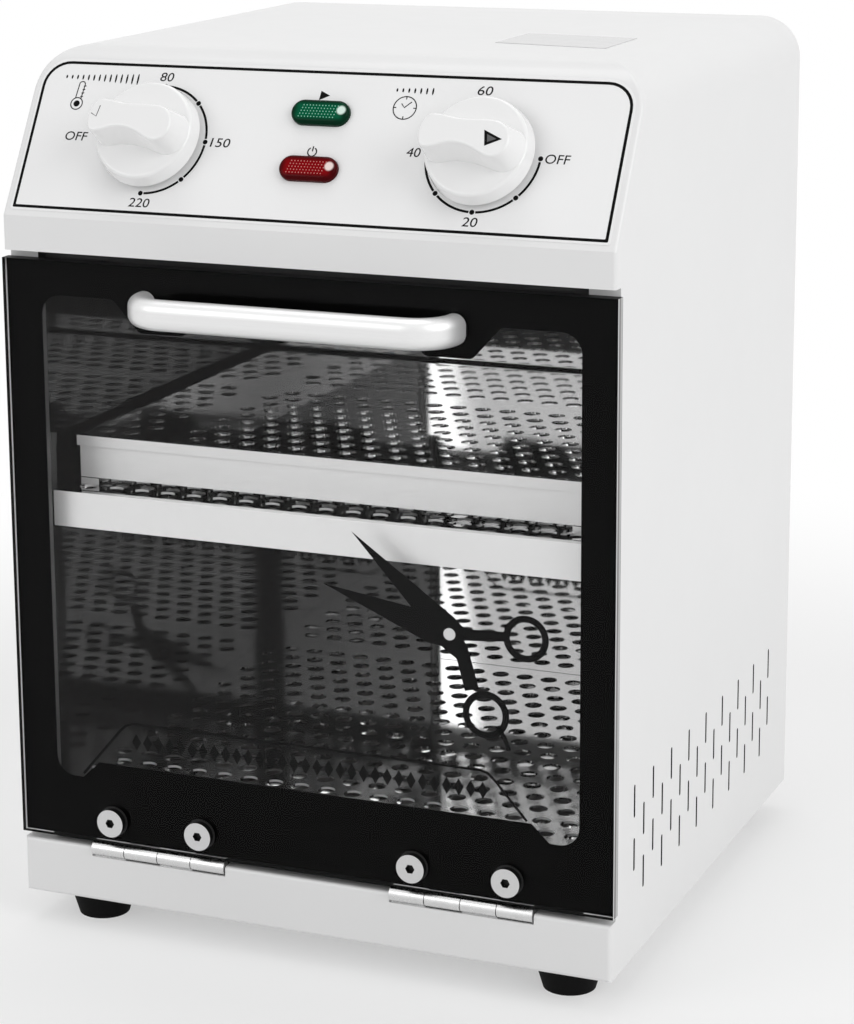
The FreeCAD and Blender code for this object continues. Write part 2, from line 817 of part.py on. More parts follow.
def chamber_parts():
    """The stainless chamber with its heater, insulation and the loose floor plate."""
    wide = (-s.chamber_half, s.chamber_half)
    low = base_z + s.chamber_bottom
    high = base_z + s.chamber_top
    sheet_x = s.chamber_half + s.liner_steel
    flange_x = s.chamber_half + s.liner_flange
    shell = box("liner_outside", (-sheet_x, sheet_x), (chamber_y, chamber_back + s.liner_steel),
                (low - s.liner_steel, high + s.liner_steel))
    flange = box("liner_flange_sheet", (-flange_x, flange_x), (chamber_y, sill_y),
                 (low - s.liner_flange, fascia_z + s.steel))
    hollow = box("liner_inside", wide, (sill_y, chamber_back), (low, high))
    mouth = box("liner_mouth", wide, (chamber_y - s.overrun, sill_y + s.overrun), (floor_z, high))
    bushings = []
    tools = [hollow, mouth]
    for side, x in (("left", -3 * s.heater_bend), ("right", 3 * s.heater_bend)):
        place = (x, chamber_back - s.bushing_inside, heater_z)
        tools.append(rod(f"bushing_hole_{side}", s.bushing_radius, s.bushing_length, place, "y"))
        bushings.append(cut(f"bushing_{side}",
                            rod(f"bushing_{side}_blank", s.bushing_radius, s.bushing_length,
                                place, "y"),
                            [rod(f"bushing_{side}_bore", s.heater_radius, s.bushing_length,
                                 place, "y")]))
    tools.append(rod("capillary_hole", s.capillary_radius + s.screw_play, 3 * s.overrun,
                     (s.capillary_across, chamber_back - s.overrun, bulb_z), "y"))
    node("cavity_liner", cut("liner", fuse("liner_blank", [shell, flange]), tools))
    node("heater_bushings", group("bushings", bushings))

    # three-pass heating tube on two cradles, under the floor plate
    bend = s.heater_bend
    front_turn = chamber_y + s.heater_front_gap
    back_turn = chamber_back - s.heater_back_gap
    tail_y = chamber_back + s.heater_tail
    node_points = [
        (-3 * bend, tail_y), (-3 * bend, front_turn), (-bend, front_turn),
        (-bend, back_turn), (bend, back_turn), (bend, front_turn), (3 * bend, front_turn),
        (3 * bend, tail_y)]
    shape_node("heating_element", routed([(x, y, heater_z) for x, y in node_points],
                                         s.heater_radius, bend))
    cradles = []
    for end, y in (("front", -s.cradle_spread), ("rear", s.cradle_spread)):
        span = (y - s.cradle_width / 2, y + s.cradle_width / 2)
        notches = [rod(f"cradle_notch_{end}_{number}", s.heater_radius, s.cradle_width,
                       (number * bend, span[0], heater_z), "y") for number in (-3, -1, 1, 3)]
        blank = box(f"cradle_blank_{end}", (-s.cradle_half, s.cradle_half), span,
                    (low, heater_z))
        cradles.append(cut("cradle_" + end, blank, notches))
    node("heater_cradles", group("cradles", cradles))
    node("heater_terminals", group("terminals", [
        rod(f"terminal_{side}", s.terminal_radius, s.terminal_length,
            (x, tail_y, heater_z), "y")
        for side, x in (("left", -3 * bend), ("right", 3 * bend))]))

    # loose perforated floor plate on its two folded legs
    plate_x = s.chamber_half - s.mesh_gap
    plate_y = (chamber_y, chamber_back - s.mesh_gap)
    plate = doc.addObject("Part::Feature", "floor_deck")
    plate.Shape = perforated((-plate_x, plate_x), plate_y, (floor_z, floor_z + s.mesh_steel),
                             s.hole_margin)
    legs = [box("floor_leg_" + side, x, (sill_y + s.mesh_gap, plate_y[1]), (low, floor_z))
            for side, x in zip(("right", "left"), both_sides((plate_x - s.mesh_steel, plate_x)))]
    node("floor_plate", fuse("floor", [plate] + legs))

    # glass-wool blankets over the top, down both sides and behind the chamber
    inner_x = sheet_x + s.blanket_gap
    outer_x = inner_x + s.blanket
    inner_z = high + s.liner_steel + s.blanket_gap
    span_y = (sill_y + s.blanket_gap, chamber_back + s.liner_steel)
    blankets = [box("blanket_top", (-outer_x, outer_x), span_y, (inner_z, inner_z + s.blanket))]
    for side, x in zip(("right", "left"), both_sides((inner_x, outer_x))):
        blankets.append(box("blanket_" + side, x, span_y, (base_z + s.blanket_low, inner_z)))
    node("insulation_wrap", fuse("wool_wrap", blankets))
    rear_wool_y = chamber_back + s.liner_steel + s.blanket_gap
    rear_wool = box("wool_rear_blank", (-s.rear_blanket_half, s.rear_blanket_half),
                    (rear_wool_y, rear_wool_y + s.blanket), (base_z + s.rear_blanket_low, high))
    wool_holes = [
        rod("wool_cutout_hole", s.cutout_radius + s.blanket_gap, 3 * s.blanket,
            (0, chamber_back, base_z + s.cutout_height), "y"),
        rod("wool_capillary_hole", s.capillary_radius + s.screw_play, 3 * s.blanket,
            (s.capillary_across, chamber_back, bulb_z), "y")]
    node("insulation_rear", cut("wool_rear", rear_wool, wool_holes))

    # over-temperature cut-out on the outside of the rear wall
    cutout_y = chamber_back + s.liner_steel
    cutout_z = base_z + s.cutout_height
    node("thermal_cutout", fuse("cutout", [
        rod("cutout_base", s.cutout_radius, s.cutout_depth / 2, (0, cutout_y, cutout_z), "y"),
        rod("cutout_cap", s.cutout_cap_radius, s.cutout_depth, (0, cutout_y, cutout_z), "y")]))

    # thermostat bulb under the ceiling, held to the rear wall, and its thin tube
    half = s.bulb_length / 2
    node("thermostat_bulb", rod("bulb", s.bulb_radius, s.bulb_length, (-half, bulb_y, bulb_z), "x"))
    clips = []
    for side, x in (("left", -s.clip_spread), ("right", s.clip_spread)):
        span = (x - s.clip_width / 2, x + s.clip_width / 2)
        ring = rod(f"clip_ring_{side}", s.bulb_radius + s.clip_wall, s.clip_width,
                   (span[0], bulb_y, bulb_z), "x")
        strap = box(f"clip_strap_{side}", span, (bulb_y, chamber_back),
                    (bulb_z - s.clip_wall, bulb_z + s.clip_wall))
        clips.append(cut(f"clip_{side}", fuse(f"clip_{side}_blank", [ring, strap]), [
            rod(f"clip_bore_{side}", s.bulb_radius, s.clip_width, (span[0], bulb_y, bulb_z), "x")]))
    node("bulb_clips", group("clips", clips))
    end = panel_point(-s.knob_middle, s.knob_up, -s.steel - s.thermostat_depth)
    turn = panel_point(-s.knob_middle, s.knob_up,
                       -s.steel - s.thermostat_depth - s.capillary_run)
    behind = rear_y - s.capillary_back
    across = s.capillary_across
    shape_node("capillary_tube", routed([
        (half, bulb_y, bulb_z), (across, bulb_y, bulb_z), (across, behind, bulb_z),
        (across, behind, turn[2]), (across, turn[1], turn[2]), turn, end],
        s.capillary_radius, s.capillary_bend))


def shelf_and_tray():
    """Two wall rails, the perforated shelf with its front lip, and the sliding tray."""
    shelf_top = base_z + s.shelf_height
    deck_z = (shelf_top - s.mesh_steel, shelf_top)
    deck_x = s.chamber_half - s.mesh_gap
    lip_y = chamber_y + s.shelf_setback
    back_y = chamber_back - s.mesh_gap
    rail_y = (lip_y + s.mesh_steel + s.mesh_gap, chamber_back)
    for side, way in (("left", -1), ("right", 1)):
        def span(low, high):
            return (low, high) if way > 0 else (-high, -low)
        wall = box(f"rail_{side}_wall", span(s.chamber_half - s.mesh_steel, s.chamber_half),
                   rail_y, (deck_z[0] - s.shelf_rail_depth, deck_z[0]))
        seat = box(f"rail_{side}_seat", span(s.chamber_half - s.shelf_rail_width, s.chamber_half),
                   rail_y, (deck_z[0] - s.mesh_steel, deck_z[0]))
        node("shelf_rail_" + side, fuse(f"rail_{side}", [wall, seat]))
    deck = doc.addObject("Part::Feature", "shelf_deck")
    deck.Shape = perforated((-deck_x, deck_x), (lip_y, back_y), deck_z, s.hole_margin)
    lip = box("shelf_lip_sheet", (-deck_x, deck_x), (lip_y, lip_y + s.mesh_steel),
              (shelf_top - s.shelf_lip, shelf_top))
    node("perforated_shelf", fuse("shelf", [deck, lip]))

    tray_z = base_z + s.tray_height
    tray_y = (chamber_y + s.tray_setback, chamber_y + s.tray_setback + s.tray_depth)
    tray_x = (-s.tray_half, s.tray_half)
    runners = [box("runner_" + side, x, tray_y, (shelf_top, tray_z - s.mesh_gap))
               for side, x in zip(("right", "left"),
                                  both_sides((s.tray_half - s.runner_width, s.tray_half)))]
    node("tray_runners", group("runners", runners))
    wall = s.mesh_steel
    rim_top = tray_z + s.tray_wall
    inner_x = (tray_x[0] + wall, tray_x[1] - wall)
    inner_y = (tray_y[0] + wall, tray_y[1] - wall)
    walls = box("tray_block", tray_x, tray_y, (tray_z, rim_top))
    hem = box("tray_hem_block", (tray_x[0] - s.tray_hem, tray_x[1] + s.tray_hem),
              (tray_y[0] - s.tray_hem, tray_y[1] + s.tray_hem),
              (rim_top - s.tray_hem_fold, rim_top))
    inside = box("tray_inside", inner_x, inner_y, (tray_z - s.overrun, rim_top + s.overrun))
    node("tray_rim", cut("rim", fuse("rim_blank", [walls, hem]), [inside]))
    shape_node("tray_mesh", perforated(inner_x, inner_y, (tray_z, tray_z + wall), s.hole_margin))


def hinge_screw_places():
    return [(way * (s.hinge_middle + turn * s.screw_spread))
            for way in (-1, 1) for turn in (-1, 1)]


def door_holes(tag, start, length):
    """The through holes for the four hinge screws and the two handle screws."""
    holes = [rod(f"{tag}_hinge_hole_{number}", screw_hole, length, (x, start, screw_z), "y")
             for number, x in enumerate(hinge_screw_places())]
    for side, x in (("left", -s.handle_half), ("right", s.handle_half)):
        holes.append(rod(f"{tag}_handle_hole_{side}", screw_hole, length,
                         (x, start, base_z + s.handle_height), "y"))
    return holes


def ring(name, radius, bore, length, start, axis):
    """A round plate with a round hole along an axis."""
    return cut(name, rod(name + "_blank", radius, length, start, axis),
               [rod(name + "_bore", bore, length, start, axis)])


def door_parts():
    """Glass, printed border, handle and catches; all of them turn with the door."""
    glass_x = (-s.glass_width / 2, s.glass_width / 2)
    glass = box("glass_blank", glass_x, (front_y, glass_back), glass_z)
    node("door_glass", cut("glass", glass, door_holes("glass", front_y, s.glass_thickness)))

    low = base_z + s.window_low
    high = base_z + s.window_high
    lobe_z = high - s.lobe_drop
    right = [
        (s.sill_half, base_z + s.sill_high), (s.ear_inner, low), (s.window_half, low),
        (s.window_half, high), (s.lobe_outer + s.lobe_slope, high), (s.lobe_outer, lobe_z),
        (s.lobe_inner, lobe_z), (s.lobe_inner - s.lobe_slope, high)]
    outline = right + [(-x, z) for x, z in reversed(right)]
    window = drawn("window", "XZ", outline, glass_back - s.overrun, print_back + s.overrun)
    rounded(window, s.window_radius,
            lambda a, b: near(abs(a.x), s.window_half) and near(a.x, b.x) and near(a.z, b.z))
    rounded(window, s.lobe_radius,
            lambda a, b: near(a.x, b.x) and near(a.z, b.z) and abs(a.x) < float(s.ear_inner)
            and (near(a.z, lobe_z) or near(a.z, high)))
    border = box("print_blank", glass_x, (glass_back, print_back), glass_z)
    node("door_print", cut("print", border,
                           [window] + door_holes("print", glass_back, s.print_thickness)))

    # bow handle on two thin washers, screwed from inside
    foot_y = front_y - s.handle_washer
    bow_y = front_y - s.handle_reach
    outer_x = s.handle_half + s.handle_deep / 2
    inner_x = s.handle_half - s.handle_deep / 2
    handle_z = base_z + s.handle_height
    inner_bow = bow_y + s.handle_deep
    bow = drawn("bow", "XY", [
        (-outer_x, foot_y), (-outer_x, bow_y), (outer_x, bow_y), (outer_x, foot_y),
        (inner_x, foot_y), (inner_x, inner_bow), (-inner_x, inner_bow), (-inner_x, foot_y)],
        handle_z - s.handle_tall / 2, handle_z + s.handle_tall / 2)
    for x, y, radius in ((outer_x, bow_y, s.handle_bend + s.handle_deep / 2),
                         (inner_x, inner_bow, s.handle_bend - s.handle_deep / 2)):
        rounded(bow, radius, lambda a, b: near(a.y, b.y) and near(a.y, y) and near(a.x, b.x)
                and near(abs(a.x), x))
    rounded(bow, s.handle_edge, lambda a, b: near(a.z, b.z)
            and not (near(a.y, foot_y) and near(b.y, foot_y)))
    bores = []
    screws = []
    washers = []
    for side, x in (("left", -s.handle_half), ("right", s.handle_half)):
        bores.append(rod(f"bow_bore_{side}", s.screw_radius, s.handle_screw_grip,
                         (x, foot_y - s.handle_screw_grip, handle_z), "y"))
        shank_y = foot_y - s.handle_screw_grip
        screws.append(fuse(f"handle_screw_{side}", [
            rod(f"handle_shank_{side}", s.screw_radius, print_back - shank_y,
                (x, shank_y, handle_z), "y"),
            rod(f"handle_head_{side}", s.handle_screw_head, s.handle_screw_head_depth,
                (x, print_back, handle_z), "y")]))
        washers.append(ring(f"handle_washer_{side}", s.handle_washer_radius, screw_hole,
                            s.handle_washer, (x, foot_y, handle_z), "y"))
    node("door_handle", cut("handle", bow, bores))
    node("handle_screws", group("both_handle_screws", screws))
    node("handle_washers", group("both_handle_washers", washers))

    # magnetic catches: strikers on the glass, magnets on the chamber flange
    catch_z = (base_z + s.catch_height - s.catch_tall / 2,
               base_z + s.catch_height + s.catch_tall / 2)
    catch_x = both_sides((s.catch_middle - s.catch_width / 2, s.catch_middle + s.catch_width / 2))
    striker_back = print_back + s.striker_thickness
    node("door_strikers", group("strikers", [
        box(f"striker_{number}", x, (print_back, striker_back), catch_z)
        for number, x in enumerate(catch_x)]))
    node("door_magnets", group("magnets", [
        box(f"magnet_{number}", x, (striker_back + s.catch_gap, chamber_y), catch_z)
        for number, x in enumerate(catch_x)]))


KNUCKLES = 4


def hinge_parts():
    """Two butt hinges: each leaf has two of the four knuckles, and a pin runs through all."""
    knuckle = (s.hinge_width - (KNUCKLES - 1) * s.hinge_gap) / KNUCKLES
    low_z = pin_z - s.barrel_radius - s.hinge_gap
    pins = []
    for side, middle in (("left", -s.hinge_middle), ("right", s.hinge_middle)):
        first_x = middle - s.hinge_width / 2
        leaf_x = (first_x, first_x + s.hinge_width)
        bore = (s.pin_radius + s.pin_play, s.hinge_width, (first_x, pin_y, pin_z), "x")
        leaves = {"door": [], "body": []}
        for number in range(KNUCKLES):
            start = first_x + number * (knuckle + s.hinge_gap)
            span = (start, start + knuckle)
            leaf = "door" if number % 2 else "body"
            name = f"knuckle_{side}_{number}"
            leaves[leaf].append(rod(name, s.barrel_radius, knuckle, (start, pin_y, pin_z), "x"))
            if leaf == "door":
                leaves[leaf].append(box(name + "_bridge", span, (glass_back - s.steel, leaf_back),
                                        (pin_z, glass_z[0])))
            else:
                leaves[leaf].append(box(name + "_tab", span,
                                        (front_y + s.steel, front_y + s.steel + s.leaf_steel),
                                        (low_z - s.leaf_steel, pin_z)))
        leaves["door"].append(box(f"door_leaf_{side}", leaf_x, (print_back, leaf_back),
                                  (glass_z[0], glass_z[0] + s.leaf_height)))
        leaves["body"].append(box(f"body_leaf_{side}", leaf_x,
                                  (front_y + s.steel, front_y + s.steel + s.leaf_steel),
                                  (pin_z - s.leaf_drop, low_z)))
        holes = [rod(f"door_leaf_{side}_hole_{number}", screw_hole, s.leaf_steel,
                     (middle + way * s.screw_spread, print_back, screw_z), "y")
                 for number, way in enumerate((-1, 1))]
        node(f"hinge_{side}_door_leaf", cut(
            f"hinge_{side}_door", fuse(f"hinge_{side}_door_blank", leaves["door"]),
            [rod(f"hinge_{side}_door_bore", *bore)] + holes))
        node(f"hinge_{side}_body_leaf", cut(
            f"hinge_{side}_body", fuse(f"hinge_{side}_body_blank", leaves["body"]),
            [rod(f"hinge_{side}_body_bore", *bore)]))
        pins.append(rod(f"pin_{side}", s.pin_radius, s.hinge_width, (first_x, pin_y, pin_z), "x"))
    node("hinge_pins", group("both_pins", pins))

    # four screws through glass, print and leaf, with a washer outside and a nut inside
    washer_y = front_y - s.washer_thickness
    head_y = washer_y - s.screw_head_depth
    nut_back = leaf_back + s.nut_thickness
    screws = []
    washers = []
    nuts = []
    for number, x in enumerate(hinge_screw_places()):
        blank = fuse(f"hinge_screw_blank_{number}", [
            rod(f"hinge_screw_head_{number}", s.screw_head, s.screw_head_depth,
                (x, head_y, screw_z), "y"),
            rod(f"hinge_screw_shank_{number}", s.screw_radius, nut_back - washer_y,
                (x, washer_y, screw_z), "y")])
        socket = doc.addObject("Part::Prism", f"hinge_screw_socket_{number}")
        socket.Placement = Placement(Vector(), TURNS["y"])
        bind(socket, "Circumradius", s.socket_radius)
        bind(socket, "Height", s.socket_depth)
        put(socket, x, head_y, screw_z)
        screws.append(cut(f"hinge_screw_{number}", blank, [socket]))
        washers.append(ring(f"hinge_washer_{number}", s.washer_radius, screw_hole,
                            s.washer_thickness, (x, washer_y, screw_z), "y"))
        nuts.append(ring(f"hinge_nut_{number}", s.nut_radius, s.screw_radius, s.nut_thickness,
                         (x, leaf_back, screw_z), "y"))
    node("hinge_screws", group("all_hinge_screws", screws))
    node("hinge_screw_washers", group("all_hinge_washers", washers))
    node("hinge_nuts", group("all_hinge_nuts", nuts))


# Outlines of the knob grip at its foot and at its top, as shares of grip_half
GRIP_FOOT_SHARES = [
    (-0.74, 0.41), (-0.48, 0.39), (-0.17, 0.34), (0.17, 0.34), (0.54, 0.36), (0.77, 0.34),
    (0.93, 0.21), (0.98, 0.0), (0.95, -0.23), (0.83, -0.43), (0.64, -0.51), (0.40, -0.47),
    (0.11, -0.39), (-0.17, -0.35), (-0.45, -0.36), (-0.68, -0.40), (-0.86, -0.32),
    (-0.96, -0.11), (-0.95, 0.14), (-0.87, 0.33)]
GRIP_TOP_SHARES = [
    (-0.74, 0.38), (-0.48, 0.36), (-0.17, 0.31), (0.17, 0.31), (0.44, 0.30), (0.61, 0.26),
    (0.75, 0.15), (0.82, -0.03), (0.81, -0.20), (0.70, -0.35), (0.54, -0.41), (0.28, -0.32),
    (0.02, -0.20), (-0.23, -0.16), (-0.45, -0.19), (-0.67, -0.26), (-0.84, -0.26),
    (-0.93, -0.06), (-0.92, 0.14), (-0.85, 0.30)]


def grip_shape():
    """The S-shaped grip about the knob's own axis, from just under the face to its top."""
    wires = []
    foot = float(s.knob_gap + s.knob_depth - s.knob_edge)
    top = float(s.knob_gap + s.knob_depth + s.grip_tall)
    for shares, out in ((GRIP_FOOT_SHARES, foot), (GRIP_TOP_SHARES, top)):
        curve = Part.BSplineCurve()
        curve.interpolate([Vector(x * float(s.grip_half), y * float(s.grip_half), out)
                           for x, y in shares], PeriodicFlag=True)
        wires.append(Part.Wire(curve.toShape()))
    grip = Part.makeLoft(wires, True)
    crown = [edge for edge in grip.Edges if all(near(v.Z, top) for v in edge.Vertexes)]
    return grip.makeFillet(float(s.grip_edge), crown)


def round_knob(tag):
    """A hollow round knob with a hub that has a bore for the shaft, and the grip on its face."""
    x = knob_places[tag]
    drum = Part.makeCone(float(s.knob_skirt), float(s.knob_face), float(s.knob_depth),
                         Vector(0, 0, float(s.knob_gap)))
    rim = [edge for edge in drum.Edges
           if near(edge.BoundBox.ZMin, s.knob_gap + s.knob_depth)]
    drum = drum.makeFillet(float(s.knob_edge), rim)
    blank = doc.addObject("Part::Feature", tag + "_knob_blank")
    blank.Shape = from_panel(drum.fuse(grip_shape()).removeSplitter(), x, s.knob_up, 0)
    deep = s.knob_depth - s.knob_wall
    recess = cut(tag + "_knob_recess",
                 panel_rod(tag + "_knob_hollow", s.knob_face - s.knob_wall, deep,
                           x, s.knob_up, s.knob_gap),
                 [panel_rod(tag + "_knob_hub", s.knob_hub, deep, x, s.knob_up, s.knob_gap)])
    bore = panel_rod(tag + "_knob_bore", s.shaft_radius + s.shaft_play, s.knob_bore_depth,
                     x, s.knob_up, s.knob_gap)
    node(tag + "_knob", cut(tag + "_turned_knob", blank, [recess, bore]))


def shaft_and_bores(tag, blank):
    """Give a switch its shaft, and take the bores of shaft and panel screws from its blank."""
    x = knob_places[tag]
    tail = -s.steel - s.shaft_tail
    node(tag + "_shaft", panel_rod(tag + "_turning_shaft", s.shaft_radius,
                                   s.knob_gap + s.shaft_sink - tail, x, s.knob_up, tail))
    bores = [panel_rod(tag + "_bore", s.shaft_radius + s.shaft_play,
                       s.overrun + s.shaft_tail, x, s.knob_up, tail - s.seam)]
    for end, way in (("low", -1), ("high", 1)):
        bores.append(panel_rod(f"{tag}_screw_bore_{end}", s.panel_screw_radius,
                               s.panel_screw_length, x + way * s.strap_screw_spread, s.knob_up,
                               -s.panel_screw_length))
    return cut(tag + "_switch", blank, bores)


def bush(tag):
    """The threaded collar through the panel, ending level with its face."""
    return panel_rod(tag + "_bush", s.bush_radius, 2 * s.steel, knob_places[tag], s.knob_up,
                     -2 * s.steel)


def screw_on_panel(name, x):
    return fuse(name, [
        panel_rod(name + "_shank", s.panel_screw_radius, s.panel_screw_length, x, s.knob_up,
                  -s.panel_screw_length),
        panel_rod(name + "_head", s.panel_screw_head, s.panel_screw_cap, x, s.knob_up, 0)])


def lamp(colour, up):
    """A lens that stands proud of the panel with a rounded edge, and the body behind it."""
    half = float(lamp_hole_width - lamp_hole_tall) / 2
    cap_radius = float(s.lamp_tall) / 2
    proud = float(s.lamp_proud)
    cap = Part.makeBox(2 * half, 2 * cap_radius, proud, Vector(-half, -cap_radius, 0))
    for x in (-half, half):
        cap = cap.fuse(Part.makeCylinder(cap_radius, proud, Vector(x, 0, 0)))
    cap = cap.removeSplitter()
    crown = [edge for edge in cap.Edges if near(edge.BoundBox.ZMin, proud)]
    lens = doc.addObject("Part::Feature", colour + "_lens_cap")
    lens.Shape = from_panel(cap.makeFillet(float(s.lamp_edge), crown), 0, up, 0)
    skirt = pill(colour + "_lens_skirt", lamp_hole_width, lamp_hole_tall, up, -s.lamp_skirt, 0)
    node(colour + "_lamp_lens", fuse(colour + "_lens", [lens, skirt]))
    node(colour + "_lamp_body", pill(colour + "_lamp_case", lamp_hole_width, lamp_hole_tall, up,
                                     -s.lamp_body_depth, -s.lamp_skirt))


knob_places = {"temperature": -s.knob_middle, "timer": s.knob_middle}


def control_parts():
    """Knobs, shafts, thermostat, timer and lamps on the sloping panel."""
    for tag in knob_places:
        round_knob(tag)
    x = knob_places["temperature"]
    strap = panel_box("thermostat_strap", (x - s.strap_half, x + s.strap_half),
                      (s.knob_up - s.strap_width / 2, s.knob_up + s.strap_width / 2),
                      (-s.steel - s.strap_steel, -s.steel))
    can = panel_rod("thermostat_can", s.thermostat_radius, s.thermostat_depth, x, s.knob_up,
                    -s.steel - s.thermostat_depth)
    node("thermostat_body", shaft_and_bores(
        "temperature", fuse("thermostat_blank", [strap, can, bush("temperature")])))
    x = knob_places["timer"]
    case = panel_box("timer_case", (x - s.timer_half, x + s.timer_half),
                     (s.knob_up - s.timer_half, s.knob_up + s.timer_half),
                     (-s.steel - s.timer_depth, -s.steel))
    node("timer_body", shaft_and_bores("timer", fuse("timer_blank", [case, bush("timer")])))
    node("timer_bell", panel_rod("bell", s.bell_radius, s.bell_depth, x, s.knob_up,
                                 -s.steel - s.timer_depth - s.bell_depth))
    node("panel_screws", group("all_panel_screws", [
        screw_on_panel(f"panel_screw_{tag}_{end}", knob_places[tag] + way * s.strap_screw_spread)
        for tag in knob_places for end, way in (("low", -1), ("high", 1))]))
    lamp("green", s.green_up)
    lamp("red", s.red_up)


def supply_parts():
    """Rear panel screws, terminal block, earth stud, cable gland and the wiring harness."""
    shape_node("rear_panel_screws", Part.makeCompound(
        rear_screws(s.panel_screw_radius, s.panel_screw_head)))
    pan_z = base_z + s.steel
    block_y = rear_y - s.supply_back
    half = s.terminal_block_width / 2
    node("terminal_block", box("block", (-half, half),
                               (block_y - s.terminal_block_deep / 2,
                                block_y + s.terminal_block_deep / 2),
                               (pan_z, pan_z + s.terminal_block_tall)))
    stud_place = (s.earth_across, rear_y - s.earth_inset, pan_z)
    node("earth_stud", fuse("stud", [
        rod("stud_thread", s.screw_radius, s.earth_length, stud_place),
        rod("stud_nut", s.nut_radius, s.nut_thickness, stud_place)]))
    gland_z = base_z + s.supply_height
    inside = rear_y - s.gland_inside
    boot = doc.addObject("Part::Cone", "gland_boot")
    boot.Placement = Placement(Vector(), TURNS["y"])
    bind(boot, "Radius1", s.gland_radius)
    bind(boot, "Radius2", s.gland_tip)
    bind(boot, "Height", s.gland_proud)
    put(boot, s.gland_across, rear_y, gland_z)
    gland = fuse("gland_blank", [
        boot,
        rod("gland_barrel", s.gland_radius, s.gland_inside,
            (s.gland_across, inside, gland_z), "y"),
        rod("gland_collar", s.gland_flange, s.gland_flange_depth,
            (s.gland_across, rear_y, gland_z), "y"),
        rod("gland_nut", s.gland_flange, s.gland_flange_depth,
            (s.gland_across, rear_y - s.steel - s.gland_flange_depth, gland_z), "y")])
    node("cable_gland", cut("gland", gland, [
        rod("gland_bore", s.gland_bore, s.gland_inside + s.gland_proud,
            (s.gland_across, inside, gland_z), "y")]))
    across = s.harness_across
    low = base_z + s.harness_start
    high = base_z + s.harness_high
    end_y = front_y + s.harness_end_inset
    shape_node("wiring_harness", routed([
        (half, block_y, low), (across, block_y, low), (across, block_y, high),
        (across, end_y, high), (s.knob_middle + s.timer_half, end_y, high)],
        s.harness_radius, s.harness_bend))


def feet():
    """Four tapered rubber feet, each with a recessed screw and a nut inside the pan."""
    screws = []
    nuts = []
    for spot, x, y in foot_places():
        cone = doc.addObject("Part::Cone", "cone_" + spot)
        bind(cone, "Radius1", s.foot_bottom)
        bind(cone, "Radius2", s.foot_top)
        bind(cone, "Height", s.foot_height)
        put(cone, x, y, 0)
        node("foot_" + spot, cut("rubber_" + spot, cone, [
            rod("recess_" + spot, s.foot_recess_radius, s.foot_screw_recess, (x, y, 0)),
            rod("foot_bore_" + spot, screw_hole, s.foot_height, (x, y, 0))]))
        head_z = s.foot_screw_recess - s.handle_screw_head_depth
        screws.append(fuse("foot_screw_" + spot, [
            rod("foot_screw_head_" + spot, s.handle_screw_head, s.handle_screw_head_depth,
                (x, y, head_z)),
            rod("foot_screw_shank_" + spot, s.screw_radius, s.foot_screw_length,
                (x, y, s.foot_screw_recess))]))
        nuts.append(ring("foot_nut_" + spot, s.nut_radius, s.screw_radius, s.nut_thickness,
                         (x, y, base_z + s.steel), "z"))
    node("foot_screws", group("all_foot_screws", screws))
    node("foot_nuts", group("all_foot_nuts", nuts))


case_parts()
chamber_parts()
shelf_and_tray()
door_parts()
hinge_parts()
control_parts()
supply_parts()
feet()
doc.recompute()

for thing in doc.Objects:
    if "Invalid" in thing.State or "Error" in thing.State:
        raise RuntimeError(f"{thing.Name} did not recompute: {thing.State}")
for thing in NODES:
    if thing.Shape.isNull() or not thing.Shape.isValid() or not thing.Shape.Solids:
        raise RuntimeError(f"{thing.Label} has no valid solid")
os.makedirs("parts", exist_ok=True)
for thing in NODES:
    thing.Shape.exportStep(f"parts/{thing.Label}.step")
print(len(NODES), "sub-parts written")
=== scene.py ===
# %% [markdown]
# # Dressing a dry heat sterilizer
# The object is a small oven for instruments: a white steel case with a sloping control panel, a
# drop-down glass door, and a bright steel chamber with a punched floor, a punched shelf and a tray.
# Its solids were built to size beforehand. This notebook loads them as a fixed frame, gives each
# one a finish, and adds what is printed, stuck or marked on them.
#
# Everything is in metres, with +Z up, +X to the right seen from the front, and the front facing -Y.

# %% The fixed frame
import math
import bpy
from mathutils import Matrix, Vector
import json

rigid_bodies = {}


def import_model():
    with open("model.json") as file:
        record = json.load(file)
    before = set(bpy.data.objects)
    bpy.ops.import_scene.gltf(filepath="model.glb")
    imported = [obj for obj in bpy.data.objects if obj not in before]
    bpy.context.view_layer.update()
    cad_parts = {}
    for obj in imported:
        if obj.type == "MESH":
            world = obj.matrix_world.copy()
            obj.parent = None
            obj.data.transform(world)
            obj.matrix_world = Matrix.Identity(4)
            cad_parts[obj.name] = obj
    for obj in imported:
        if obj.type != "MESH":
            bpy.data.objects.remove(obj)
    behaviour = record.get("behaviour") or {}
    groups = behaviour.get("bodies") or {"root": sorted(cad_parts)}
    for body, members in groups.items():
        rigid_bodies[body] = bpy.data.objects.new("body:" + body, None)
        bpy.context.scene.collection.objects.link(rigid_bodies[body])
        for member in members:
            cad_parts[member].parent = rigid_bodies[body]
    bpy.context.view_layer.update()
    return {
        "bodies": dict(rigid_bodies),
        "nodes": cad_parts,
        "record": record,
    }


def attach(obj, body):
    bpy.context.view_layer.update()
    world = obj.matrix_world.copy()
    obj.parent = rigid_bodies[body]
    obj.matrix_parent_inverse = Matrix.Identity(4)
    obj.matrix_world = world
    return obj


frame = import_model()
print("nodes:", len(frame["nodes"]), "bodies:", sorted(frame["bodies"]))

# %% [markdown]
# ## Planes to draw on
# Print and labels lie on flat faces: the sloping panel, the back of the glass and the top. It is
# easiest to draw them flat, in millimetres, and then to carry the finished mesh to its face with
# one matrix. A matrix whose columns are a face's own right, up and outward directions does that.
# The panel leans back by 31 degrees from the crease above the door.

